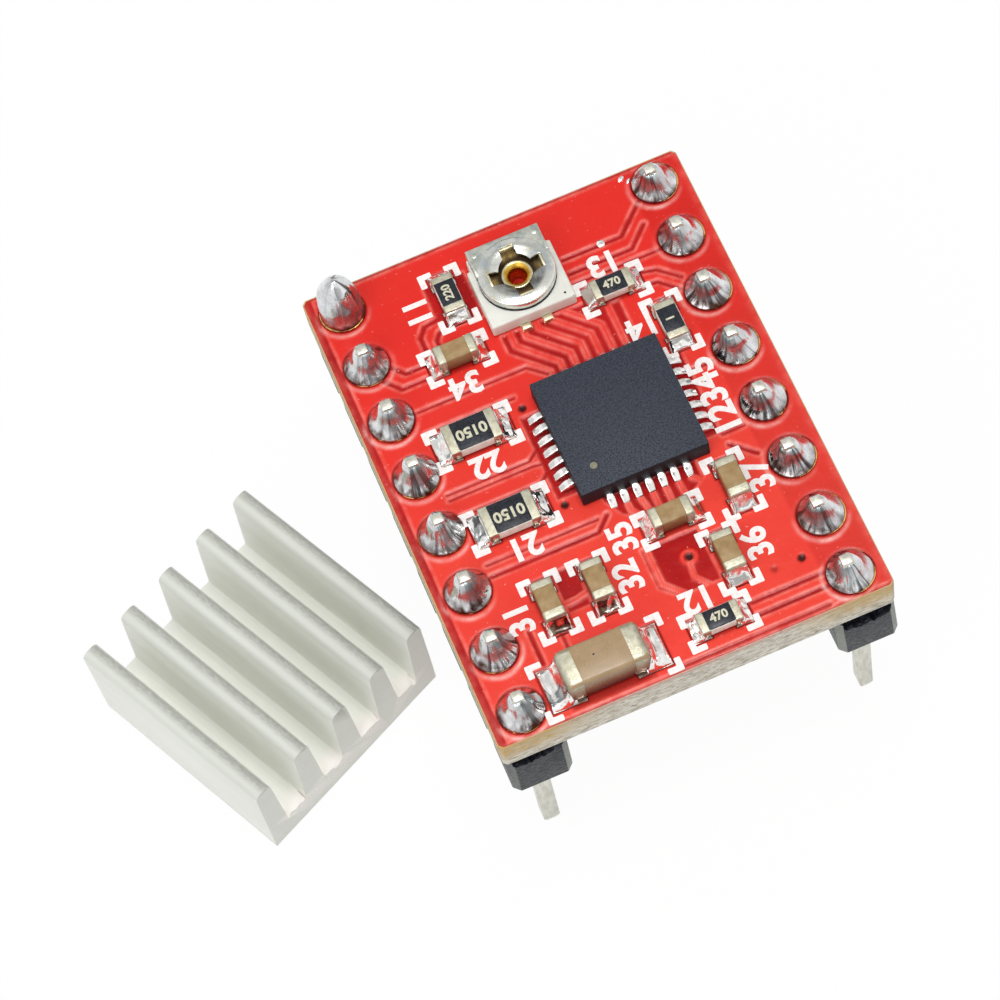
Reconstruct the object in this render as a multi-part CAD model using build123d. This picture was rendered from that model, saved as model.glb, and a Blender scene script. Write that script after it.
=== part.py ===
"""Stepper driver module: a small carrier board on two pin headers, with its loose heat sink beside it.

Frame, in millimetres: X across the board, Y along the two pin rows, Z up. The origin is the centre of the
board's outline, on the plane that the pin tips stand on, so the plane is also the bench top.
"""

from build123d import *

import os
from math import atan, cos, degrees, radians, tan
from typing import NamedTuple

# ---------------------------------------------------------------- driving dimensions, in millimetres

# Pin headers
pitch = 2.54
ways = 8
row_spacing = 12.7
pin_width = 0.64
pin_tail = 6.0
pin_above_board = 1.5
pin_point = 0.35
pin_tip_width = 0.44
spacer_height = 2.5
spacer_width = 2.4
spacer_notch = 0.36
spacer_end_trim = 0.12

# Carrier board
side_margin = 1.27
end_margin = 1.06
board_thickness = 1.6
board_corner = 0.15
mask_thickness = 0.05
header_hole = 1.0
header_hole_sides = 8
plating = 0.05
header_pad = 1.72
header_pad_sides = 10
via_hole = 0.3
via_sides = 6

# Solder on the header pins: one joint, at the back of the left row, took more solder and covers its pin
joint_margin = 0.02
joint_shoulder = 0.5
joint_shoulder_width = 1.4
joint_height = 1.25
joint_top = 0.9
tall_joint_waist = 1.05
tall_joint_waist_width = 1.62
tall_joint_shoulder = 1.68
tall_joint_shoulder_width = 1.26
tall_joint_height = 2.36
tall_joint_top = 0.5

# Solder under and beside the surface-mount parts
solder_film = 0.04

# Driver chip, a flat leadless package
chip_side = 5.0
chip_height = 0.85
chip_x = 1.24
chip_y = 0.05
lead_count = 7
lead_pitch = 0.5
lead_width = 0.23
lead_length = 0.5
lead_thickness = 0.2
lead_reach = 0.55
paddle_side = 3.15

# Chip resistors and capacitors
small_length = 1.6
small_width = 0.82
small_band = 0.32
small_reach = 0.36
small_resistor_height = 0.46
small_capacitor_height = 0.78
sense_length = 2.05
sense_width = 1.25
sense_height = 0.52
sense_band = 0.38
sense_reach = 0.5
large_length = 3.2
large_width = 1.62
large_height = 1.25
large_band = 0.62
large_reach = 0.7
end_cap = 0.04
glaze_thickness = 0.04
land_side_margin = 0.06

# Trimmer, a square base with a stamped rotor held by a rolled eyelet
trimmer_x = 0.09
trimmer_y = 7.03
trimmer_width = 3.36
trimmer_front = 1.66
trimmer_back = 1.47
trimmer_base_height = 0.65
trimmer_foot = 0.05
trimmer_notch_width = 0.16
trimmer_notch_length = 0.5
rotor_diameter = 2.98
rotor_sheet = 0.1
rotor_skirt = 0.36
rotor_corner = 0.08
rotor_flat_inside = 2.04
rotor_floor = 1.26
rotor_lift = 0.15
rotor_floor_gap = 0.05
cross_width = 0.52
cross_reach = 1.1
eyelet_bore = 0.66
eyelet_wall = 0.09
eyelet_flange = 1.14
eyelet_sheet = 0.08
running_gap = 0.03
track_inside = 1.5
track_outside = 2.5
track_thickness = 0.05
track_opening = 100.0
wiper_plate = 0.09
wiper_plate_width = 2.96
wiper_foot = 0.3
wiper_clearance = 0.2
wiper_front = 0.35
terminal_width = 0.42
terminal_pitch = 0.86
terminal_reach = 0.27
terminal_under = 0.5
terminal_height = 0.2

# Heat sink, an extruded bar end sawn to length
sink_width = 9.0
sink_length = 9.1
sink_height = 4.8
sink_base = 1.35
sink_fins = 5
fin_root = 1.04
fin_tip = 0.74
fin_tip_bevel = 0.12
fin_root_bevel = 0.12
sink_x = -14.25
sink_y = 0.32
sink_turn = 26.0

# ---------------------------------------------------------------- levels and outlines worked out from them

board_width = row_spacing + 2 * side_margin
board_length = (ways - 1) * pitch + 2 * end_margin
z_board_bottom = pin_tail + spacer_height
z_core_bottom = z_board_bottom + mask_thickness
z_board_top = z_board_bottom + board_thickness
z_core_top = z_board_top - mask_thickness
barrel_radius = header_hole / 2 + plating

header_points = [
    (side * row_spacing / 2, (way - (ways - 1) / 2) * pitch) for side in (-1, 1) for way in range(ways)
]
via_points = [(-1.77, 2.2), (-1.85, -2.1), (1.4, -5.9), (5.02, -7.65)]


class ChipPart(NamedTuple):
    """Outside size of a two-ended surface-mount part, and how far its solder reaches past each end."""

    length: float
    width: float
    height: float
    band: float
    reach: float


small_resistor = ChipPart(small_length, small_width, small_resistor_height, small_band, small_reach)
sense_resistor = ChipPart(sense_length, sense_width, sense_height, sense_band, sense_reach)
small_capacitor = ChipPart(small_length, small_width, small_capacitor_height, small_band, small_reach)
large_capacitor = ChipPart(large_length, large_width, large_height, large_band, large_reach)

# Name, centre x, centre y, turn in degrees, size: the board's placement list.
resistors = [
    ("resistor_1", -2.50, 7.65, 90, small_resistor),
    ("resistor_2", 1.38, -8.70, 0, small_resistor),
    ("resistor_3", 3.17, 5.36, 0, small_resistor),
    ("resistor_4", 4.56, 3.05, 90, small_resistor),
    ("sense_resistor_1", -3.86, -1.79, 0, sense_resistor),
    ("sense_resistor_2", -3.86, 1.88, 0, sense_resistor),
]
capacitors = [
    ("capacitor_1", -3.90, -5.62, 90, small_capacitor),
    ("capacitor_2", -2.00, -5.62, 90, small_capacitor),
    ("capacitor_3", -3.05, -8.64, 0, large_capacitor),
    ("capacitor_4", -3.17, 5.16, 0, small_capacitor),
    ("capacitor_5", 1.42, -4.32, 0, small_capacitor),
    ("capacitor_6", 2.68, -6.55, 90, small_capacitor),
    ("capacitor_7", 3.98, -3.95, 90, small_capacitor),
]


# ---------------------------------------------------------------- helpers


def block(x_low, x_high, y_low, y_high, z_low, z_high):
    """A box between two corners."""
    middle = Pos((x_low + x_high) / 2, (y_low + y_high) / 2, (z_low + z_high) / 2)
    return middle * Box(x_high - x_low, y_high - y_low, z_high - z_low)


def disc(radius, z_low, z_high):
    """An upright cylinder on the Z axis between two levels."""
    return Pos(0, 0, (z_low + z_high) / 2) * Cylinder(radius, z_high - z_low)


def turned(points):
    """A closed (radius, z) outline turned once round the Z axis."""
    return revolve(make_face(Polyline(*[(radius, 0, z) for radius, z in points], close=True)), Axis.Z)


def cross_section(points, width):
    """A closed (x, z) outline made into a bar of the given width, centred on Y."""
    face = make_face(Polyline(*[(x, 0, z) for x, z in points], close=True))
    return extrude(face, amount=width / 2, dir=(0, 1, 0), both=True)


def taper_angle(wide, narrow, height):
    """The angle in degrees at which flats at two half-widths lean towards each other over a height."""
    return degrees(atan((wide - narrow) / height))


def tapered_stack(sides, levels):
    """Frustums of one regular polygon, one on another, from a list of (corner radius, z) levels."""
    flat = cos(radians(180 / sides))
    stack = []
    for (low_radius, z_low), (high_radius, z_high) in zip(levels, levels[1:]):
        angle = taper_angle(low_radius * flat, high_radius * flat, z_high - z_low)
        stack.append(Pos(0, 0, z_low) * extrude(RegularPolygon(low_radius, sides), z_high - z_low, taper=angle))
    return Part() + stack


def save(name, solids):
    """Write one node as parts/NAME.step, from a solid or a list of separate solids."""
    pieces = solids if isinstance(solids, list) else [solids]
    separate = [solid for piece in pieces for solid in piece.solids()]
    shape = separate[0] if len(separate) == 1 else Compound(separate)
    shape.label = name
    export_step(shape, f"parts/{name}.step")


# ---------------------------------------------------------------- carrier board


def board_outline():
    """The board's plan: a rectangle with just-broken corners."""
    return chamfer(Rectangle(board_width, board_length).vertices(), board_corner)


def land_outlines():
    """Every soldered land on the top face, as flat outlines in the board's plan."""
    lands = []
    for _, x, y, turn, size in resistors + capacitors:
        inner = size.length / 2 - size.band
        outer = size.length / 2 + size.reach
        land = Rectangle(outer - inner, size.width + 2 * land_side_margin)
        for side in (-1, 1):
            lands.append(Pos(x, y) * Rot(0, 0, turn) * Pos(side * (inner + outer) / 2, 0) * land)
    lead_land = Rectangle(lead_length + lead_reach, lead_width)
    for place in lead_places():
        lands.append(Pos(chip_x, chip_y) * place * Pos((lead_reach - lead_length) / 2, 0) * lead_land)
    lands.append(Pos(chip_x, chip_y) * Rectangle(paddle_side, paddle_side))
    front_land = Rectangle(terminal_width, terminal_under + terminal_reach)
    for side in (-1, 1):
        front_y = -trimmer_front + (terminal_under - terminal_reach) / 2
        lands.append(Pos(trimmer_x + side * terminal_pitch / 2, trimmer_y + front_y) * front_land)
    back_land = Rectangle(terminal_width, wiper_foot)
    lands.append(Pos(trimmer_x, trimmer_y + trimmer_back + wiper_foot / 2) * back_land)
    return lands


def make_board():
    """Glass-fibre core, the solder mask on both faces, the lands, and the plated header holes."""
    barrel = RegularPolygon(barrel_radius, header_hole_sides)
    pad = RegularPolygon(header_pad / 2, header_pad_sides)
    via = RegularPolygon(via_hole / 2, via_sides)
    headers = Sketch() + [Pos(x, y) * barrel for x, y in header_points]
    pads = Sketch() + [Pos(x, y) * pad for x, y in header_points]
    vias = Sketch() + [Pos(x, y) * via for x, y in via_points]
    lands = land_outlines()
    core = board_outline() - headers - vias
    top = board_outline() - pads - vias - (Sketch() + lands)
    bottom = board_outline() - pads - vias
    save("board_core", Pos(0, 0, z_core_bottom) * extrude(core, z_core_top - z_core_bottom))
    save("mask_top", Pos(0, 0, z_core_top) * extrude(top, mask_thickness))
    save("mask_bottom", Pos(0, 0, z_board_bottom) * extrude(bottom, mask_thickness))
    save("board_lands", [Pos(0, 0, z_core_top) * extrude(land, mask_thickness) for land in lands])

    bore = RegularPolygon(header_hole / 2, header_hole_sides)
    hole = Pos(0, 0, z_core_bottom) * extrude(barrel - bore, z_core_top - z_core_bottom)
    for z_pad in (z_board_bottom, z_core_top):
        hole += Pos(0, 0, z_pad) * extrude(pad - bore, mask_thickness)
    save("plated_holes", [Pos(x, y) * hole for x, y in header_points])


# ---------------------------------------------------------------- pin headers


def make_spacer(row_x):
    """One header's insulator: a bar notched at every way, with a square hole for each pin."""
    length = ways * pitch - 2 * spacer_end_trim
    plan = chamfer(Rectangle(spacer_width, length).vertices(), spacer_notch)
    notch = Rot(0, 0, 45) * Rectangle(spacer_notch * 2**0.5, spacer_notch * 2**0.5)
    for way in range(1, ways):
        for side in (-1, 1):
            plan -= Pos(side * spacer_width / 2, (way - ways / 2) * pitch) * notch
    for _, y in header_points[:ways]:
        plan -= Pos(0, y) * Rectangle(pin_width, pin_width)
    return Pos(row_x, 0, pin_tail) * extrude(plan, spacer_height)


def make_pin():
    """One square pin, from its tip on the bench to its tip above the board, tapered at both ends."""
    top = z_board_top + pin_above_board
    shank = Rectangle(pin_width, pin_width)
    point = extrude(shank, pin_point, taper=taper_angle(pin_width / 2, pin_tip_width / 2, pin_point))
    lower = Pos(0, 0, pin_point) * Rot(180, 0, 0) * point
    middle = Pos(0, 0, pin_point) * extrude(shank, top - 2 * pin_point)
    upper = Pos(0, 0, top - pin_point) * point
    return lower + middle + upper


def make_pin_joint(pin, levels):
    """One header joint: solder that fills the plated hole and stands round the pin in the given levels."""
    foot = (header_pad / 2 - joint_margin, 0)
    outline = [(radius, z_board_top + height) for radius, height in [foot] + levels]
    fill = extrude(RegularPolygon(header_hole / 2, header_hole_sides), board_thickness)
    return Pos(0, 0, z_board_bottom) * fill + tapered_stack(header_pad_sides, outline) - pin


def make_headers():
    """Both pin rows, with their insulators, pins and joints."""
    pin = make_pin()
    joint = make_pin_joint(
        pin, [(joint_shoulder_width / 2, joint_shoulder), (joint_top / 2, joint_height)]
    )
    tall_joint = make_pin_joint(
        pin,
        [
            (tall_joint_waist_width / 2, tall_joint_waist),
            (tall_joint_shoulder_width / 2, tall_joint_shoulder),
            (tall_joint_top / 2, tall_joint_height),
        ],
    )
    for row, side in (("left", -1), ("right", 1)):
        row_x = side * row_spacing / 2
        places = [Pos(x, y) for x, y in header_points if x == row_x]
        save(f"header_spacer_{row}", make_spacer(row_x))
        save(f"header_pins_{row}", [place * pin for place in places])
        joints = [place * joint for place in places]
        if row == "left":
            joints[-1] = places[-1] * tall_joint
        save(f"pin_joints_{row}", joints)


# ---------------------------------------------------------------- driver chip


def lead_places():
    """Where each lead of the chip meets the package's side, with X pointing outwards."""
    return [
        Rot(0, 0, 90 * side) * Pos(chip_side / 2, (lead - (lead_count - 1) / 2) * lead_pitch)
        for side in range(4)
        for lead in range(lead_count)
    ]


def make_chip():
    """Moulded body with its leads and heat paddle let into the underside, and the solder below."""
    place = Pos(chip_x, chip_y, z_board_top)
    bottom = solder_film
    lead = block(-lead_length, 0, -lead_width / 2, lead_width / 2, bottom, bottom + lead_thickness)
    leads = [spot * lead for spot in lead_places()]
    half = paddle_side / 2
    paddle = block(-half, half, -half, half, bottom, bottom + lead_thickness)
    body = Pos(0, 0, bottom + chip_height / 2) * Box(chip_side, chip_side, chip_height)
    save("chip_body", place * (body - leads - paddle))
    save("chip_leads", [place * piece for piece in leads])
    save("chip_paddle", place * paddle)

    fillet_outline = [
        (-lead_length, 0),
        (lead_reach, 0),
        (0, bottom + lead_thickness),
        (0, bottom),
        (-lead_length, bottom),
    ]
    fillet_bar = cross_section(fillet_outline, lead_width)
    under_paddle = block(-half, half, -half, half, 0, bottom)
    save("chip_solder", [place * spot * fillet_bar for spot in lead_places()] + [place * under_paddle])


# ---------------------------------------------------------------- chip resistors and capacitors


def make_end_solder(size):
    """Solder at both ends of a chip part: a film below and a fillet that climbs the end face."""
    inner = size.length / 2 - size.band
    end = size.length / 2
    climb = solder_film + 0.7 * size.height
    outline = [
        (inner, 0),
        (end + size.reach, 0),
        (end, climb),
        (end, solder_film),
        (inner, solder_film),
    ]
    fillet_bar = cross_section(outline, size.width)
    return [Rot(0, 0, turn) * fillet_bar for turn in (0, 180)]


def make_resistor(size):
    """A flat chip resistor: ceramic slab, wrapped end terminals and the dark glaze on top."""
    low = solder_film
    high = solder_film + size.height
    half = size.length / 2
    middle = half - size.band
    wide = size.width / 2
    slab_low = low + end_cap
    slab_high = high - end_cap
    slab = block(-half + end_cap, half - end_cap, -wide, wide, slab_low, slab_high)
    glaze = block(-middle, middle, -wide, wide, slab_high, slab_high + glaze_thickness)
    terminals = [
        block(*sorted((side * middle, side * half)), -wide, wide, low, high) - slab for side in (-1, 1)
    ]
    return slab, glaze, terminals


def make_capacitor(size):
    """A block capacitor: ceramic body with a metal cap over each end."""
    low = solder_film
    high = solder_film + size.height
    half = size.length / 2
    wide = size.width / 2
    body = block(
        -half + end_cap,
        half - end_cap,
        -wide + end_cap,
        wide - end_cap,
        low + end_cap,
        high - end_cap,
    )
    caps = [
        block(*sorted((side * (half - size.band), side * half)), -wide, wide, low, high) - body
        for side in (-1, 1)
    ]
    return body, caps


def make_chip_parts():
    """Every resistor and capacitor on its lands, and their solder as one group."""
    solder = []
    for name, x, y, turn, size in resistors:
        place = Pos(x, y, z_board_top) * Rot(0, 0, turn)
        slab, glaze, terminals = make_resistor(size)
        save(f"{name}_ceramic", place * slab)
        save(f"{name}_glaze", place * glaze)
        save(f"{name}_terminals", [place * piece for piece in terminals])
        solder += [place * piece for piece in make_end_solder(size)]
    for name, x, y, turn, size in capacitors:
        place = Pos(x, y, z_board_top) * Rot(0, 0, turn)
        body, caps = make_capacitor(size)
        save(f"{name}_body", place * body)
        save(f"{name}_caps", [place * piece for piece in caps])
        solder += [place * piece for piece in make_end_solder(size)]
    save("chip_part_solder", solder)


# ---------------------------------------------------------------- trimmer

z_base_low = trimmer_foot
z_base_high = z_base_low + trimmer_base_height
z_rotor_low = z_base_high + rotor_lift
z_rotor_high = z_rotor_low + rotor_skirt
z_floor_low = z_base_high + rotor_floor_gap
z_floor_high = z_floor_low + rotor_sheet
eyelet_radius = eyelet_bore / 2 + eyelet_wall
flange_recess = eyelet_sheet + running_gap
recess_sides = 16


def make_trimmer_base():
    """Moulded square base with an eyelet hole, a recess below it and two stepped back corners."""
    wide = trimmer_width / 2
    base = block(-wide, wide, -trimmer_front, trimmer_back, z_base_low, z_base_high)
    for side in (-1, 1):
        step = block(0, trimmer_notch_width, -trimmer_notch_length, 0, z_base_low, z_base_high)
        base -= Pos(side * wide - (trimmer_notch_width if side > 0 else 0), trimmer_back, 0) * step
    base -= disc(eyelet_radius, z_base_low, z_base_high)
    recess = RegularPolygon(eyelet_flange / 2, recess_sides, major_radius=False)
    base -= Pos(0, 0, z_base_low) * extrude(recess, flange_recess)
    for side in (-1, 1):
        base -= Pos(side * terminal_pitch / 2, -trimmer_front) * end_terminal_bar(terminal_under)
    return base


def end_terminal_bar(inside):
    """One end terminal's strip: it runs under the base by the given length and turns up in front."""
    half = terminal_width / 2
    flat = block(-half, half, -terminal_reach, inside, z_base_low - trimmer_foot, z_base_low + wiper_plate)
    front = block(-half, half, -terminal_reach, 0, z_base_low - trimmer_foot, terminal_height)
    return flat + front


def make_track():
    """The resistive track printed on the base, a ring left open towards the back."""
    ring = Circle(track_outside / 2) - Circle(track_inside / 2)
    reach = trimmer_width
    half_width = reach * tan(radians(track_opening / 2))
    ring -= make_face(Polyline((0, 0), (half_width, reach), (-half_width, reach), close=True))
    return Pos(0, 0, z_base_high) * extrude(ring, track_thickness)


def make_wiper_terminal():
    """The centre terminal: a plate over the back of the base, folded down to the board behind it."""
    half = wiper_plate_width / 2 - trimmer_notch_width
    top = z_base_high + wiper_plate
    back = trimmer_back + wiper_plate
    plate = block(-half, half, wiper_front, back, z_base_high, top)
    plate -= disc(rotor_floor / 2 + wiper_clearance, z_base_high, top)
    plate -= make_track_clearance()
    tab = block(-terminal_width, terminal_width, trimmer_back, back, 0, top)
    foot = block(-terminal_width / 2, terminal_width / 2, trimmer_back, trimmer_back + wiper_foot, 0, wiper_plate)
    return plate + tab + foot


def make_track_clearance():
    """The room that the centre terminal leaves round the track's two ends."""
    ring = Circle(track_outside / 2 + running_gap) - Circle(track_inside / 2 - running_gap)
    reach = trimmer_width
    half_width = reach * tan(radians(track_opening / 2 - 6))
    ring -= make_face(Polyline((0, 0), (half_width, reach), (-half_width, reach), close=True))
    return Pos(0, 0, z_base_high) * extrude(ring, wiper_plate)


def make_eyelet():
    """The rolled eyelet that the rotor turns on, flanged above the rotor's floor and below the base."""
    bore = eyelet_bore / 2
    flange = eyelet_flange / 2
    z_flange = z_floor_high + running_gap
    return turned(
        [
            (bore, z_base_low),
            (flange, z_base_low),
            (flange, z_base_low + eyelet_sheet),
            (eyelet_radius, z_base_low + eyelet_sheet),
            (eyelet_radius, z_flange),
            (flange, z_flange),
            (flange, z_flange + eyelet_sheet),
            (bore + eyelet_wall, z_flange + eyelet_sheet),
            (bore, z_flange),
        ]
    )


def make_rotor():
    """The stamped rotor: turned-down rim, flat ring, four petals dished to a floor, and a driver cross."""
    outside = rotor_diameter / 2
    flat = rotor_flat_inside / 2
    floor = rotor_floor / 2
    hole = eyelet_radius + running_gap
    top = z_rotor_high
    sheet = rotor_sheet
    dish = turned(
        [
            (outside, z_rotor_low),
            (outside, top - rotor_corner),
            (outside - rotor_corner, top),
            (flat, top),
            (floor, z_floor_high),
            (hole, z_floor_high),
            (hole, z_floor_low),
            (floor, z_floor_low),
            (flat, top - sheet),
            (outside - sheet, top - sheet),
            (outside - sheet, z_rotor_low),
        ]
    )
    arm = Pos(0, 0, top) * Box(2 * cross_reach, cross_width, 2 * (top - z_base_high))
    slots = arm + Rot(0, 0, 90) * arm - disc(floor, z_base_high, top + rotor_skirt)
    return dish - slots


def make_trimmer():
    """The trimmer's pieces, soldered to its three lands."""
    place = Pos(trimmer_x, trimmer_y, z_board_top)
    save("trimmer_base", place * make_trimmer_base())
    save("trimmer_track", place * make_track())
    save("trimmer_wiper_terminal", place * make_wiper_terminal())
    save(
        "trimmer_end_terminals",
        [
            place * Pos(side * terminal_pitch / 2, -trimmer_front) * end_terminal_bar(terminal_under)
            for side in (-1, 1)
        ],
    )
    save("trimmer_eyelet", place * make_eyelet())
    save("trimmer_rotor", place * make_rotor())


# ---------------------------------------------------------------- heat sink


def make_heat_sink():
    """The extrusion: a flat base with tapered fins, upright on the outside, eased at tips and roots."""
    pitch_of_fins = (sink_width - fin_tip) / (sink_fins - 1)
    half = sink_width / 2
    outline = [(-half, 0)]
    for fin in range(sink_fins):
        middle = -half + fin_tip / 2 + fin * pitch_of_fins
        left_root = -half if fin == 0 else middle - fin_root / 2
        right_root = half if fin == sink_fins - 1 else middle + fin_root / 2
        if fin:
            outline.append((left_root, sink_base))
        outline.append((middle - fin_tip / 2, sink_height))
        outline.append((middle + fin_tip / 2, sink_height))
        if fin < sink_fins - 1:
            outline.append((right_root, sink_base))
    outline.append((half, 0))
    plan = make_face(Polyline(*outline, close=True))
    tips = plan.vertices().filter_by(lambda corner: abs(corner.Y - sink_height) < 1e-6)
    plan = chamfer(tips, fin_tip_bevel)
    roots = plan.vertices().filter_by(lambda corner: abs(corner.Y - sink_base) < 1e-6)
    plan = chamfer(roots, fin_root_bevel)
    bar = Rot(90, 0, 0) * extrude(plan, sink_length / 2, both=True)
    return Pos(sink_x, sink_y, 0) * Rot(0, 0, sink_turn) * bar


os.makedirs("parts", exist_ok=True)
make_board()
make_headers()
make_chip()
make_chip_parts()
make_trimmer()
save("heat_sink", make_heat_sink())
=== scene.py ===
"""Looks of the stepper driver module: a red carrier board on two pin headers, and its loose heat sink.

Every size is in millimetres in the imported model's own frame (X across the board, Y along the pin rows, Z up,
bench top at zero) and turns into metres in one place, where a finished piece is published.
"""

import logging
import random
from dataclasses import dataclass
from enum import Enum
from math import cos, pi, radians, sin, sqrt
from typing import Any, Callable, Iterable, Sequence

import bmesh
import bpy
import numpy as np
from mathutils import Euler, Matrix, Vector, noise


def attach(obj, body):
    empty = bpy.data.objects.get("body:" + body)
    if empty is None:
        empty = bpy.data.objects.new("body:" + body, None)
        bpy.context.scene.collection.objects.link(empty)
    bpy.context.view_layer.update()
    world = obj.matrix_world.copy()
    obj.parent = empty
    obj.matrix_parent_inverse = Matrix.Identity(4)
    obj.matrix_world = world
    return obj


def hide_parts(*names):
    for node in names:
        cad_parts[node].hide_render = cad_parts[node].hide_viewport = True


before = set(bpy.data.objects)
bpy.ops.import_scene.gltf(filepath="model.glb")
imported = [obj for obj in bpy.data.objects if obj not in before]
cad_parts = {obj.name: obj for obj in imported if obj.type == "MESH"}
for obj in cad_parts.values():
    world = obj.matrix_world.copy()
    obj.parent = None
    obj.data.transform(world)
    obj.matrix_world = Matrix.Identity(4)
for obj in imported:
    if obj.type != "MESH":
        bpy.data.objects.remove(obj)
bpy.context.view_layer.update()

log = logging.getLogger("stepper_driver_module")

MM = 0.001
Z_TOP = 10.1
Z_BOTTOM = 8.5
Pair = tuple[float, float]
Triple = tuple[float, float, float]
Path = tuple[Pair, ...]
Shape = bmesh.types.BMesh
Socket = bpy.types.NodeSocket


class Body(Enum):
    """The bodies that a piece can ride."""

    BOARD = "carrier_board"
    ROTOR = "trimmer_rotor"
    SINK = "heat_sink"


class Slot(Enum):
    """The record's material slots."""

    MASK = "red_mask"
    GOLD = "gold_plate"
    HEADER = "header_plastic"
    PIN = "pin_metal"
    SOLDER = "solder"
    MOULD = "mould_compound"
    LEAD = "lead_frame"
    TRIMMER = "trimmer_plastic"
    TRACK = "carbon_track"
    NICKEL = "nickel_sheet"
    BRASS = "eyelet_brass"
    ALUMINIUM = "mill_aluminium"
    GLAZE = "resistor_glaze"
    ALUMINA = "alumina"
    END = "end_metal"
    CERAMIC = "capacitor_ceramic"


# ---------------------------------------------------------------- nodes and finishes


def linear(hex_colour: str) -> tuple[float, float, float, float]:
    """Turns an sRGB hex colour into linear light.

    Args:
        hex_colour: six hex digits after a hash sign.

    Returns:
        Red, green, blue and an alpha of one.
    """
    parts = [int(hex_colour[i : i + 2], 16) / 255 for i in (1, 3, 5)]
    red, green, blue = (c / 12.92 if c <= 0.04045 else ((c + 0.055) / 1.055) ** 2.4 for c in parts)
    return red, green, blue, 1.0


def add_node(
    tree: bpy.types.NodeTree, kind: str, settings: dict[Any, Any] | None = None, links: dict[Any, Any] | None = None
) -> bpy.types.Node:
    """Adds one node with its settings and the sockets that feed it.

    Args:
        tree: the node tree.
        kind: the node's type, without the words that every shader node's type starts with.
        settings: lower-case names are the node's own properties, the rest are input sockets.
        links: input socket to the output that feeds it.

    Returns:
        The node.
    """
    node = tree.nodes.new(f"ShaderNode{kind}")
    for key, value in (settings or {}).items():
        if isinstance(key, str) and key[0].islower():
            setattr(node, key, value)
        else:
            node.inputs[key].default_value = value
    for key, source in (links or {}).items():
        tree.links.new(source, node.inputs[key])
    return node


@dataclass(frozen=True)
class Grain:
    """A noise pattern: its size in millimetres, finer octaves, stretch along each axis and turn about Z.

    One that follows a vector painted on the piece has that vector's units.
    """

    size: float
    detail: float = 3.0
    stretch: Triple = (1.0, 1.0, 1.0)
    turn: float = 0.0
    follows: str = ""
    roughness: float = 0.55


@dataclass(frozen=True)
class Share:
    """A source that is mapped from its two edges to a range of values."""

    source: str
    low: float = 0.0
    high: float = 1.0
    edges: Pair = (0.35, 0.65)


# Shares that are multiplied. A bare name is a source as it is.
Product = tuple[Share | str, ...]


@dataclass(frozen=True)
class Coat:
    """A ground colour, and colours laid over it one by one, each where its product lets it show."""

    ground: str
    layers: tuple[tuple["str | Coat", Product], ...]


@dataclass(frozen=True)
class Finish:
    """A surface, named for what it is made of and how, as one procedural material.

    A source is a grain, the object's X, Y or Z, the distance from an upright axis, or else a value that the
    piece carries at its points. Roughness is the sum of its products, and each relief has a depth in millimetres.
    """

    name: str
    coat: Coat
    rough: tuple[Product, ...]
    relief: tuple[tuple[float, Product], ...]
    grains: dict[str, Grain]
    metallic: float = 0.0
    specular: float = 0.5
    axis: Pair = (0.0, 0.0)

    def material(self) -> bpy.types.Material:
        """Returns the material, made on first use."""
        found = bpy.data.materials.get(self.name)
        return found or Wiring(self).material


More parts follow.
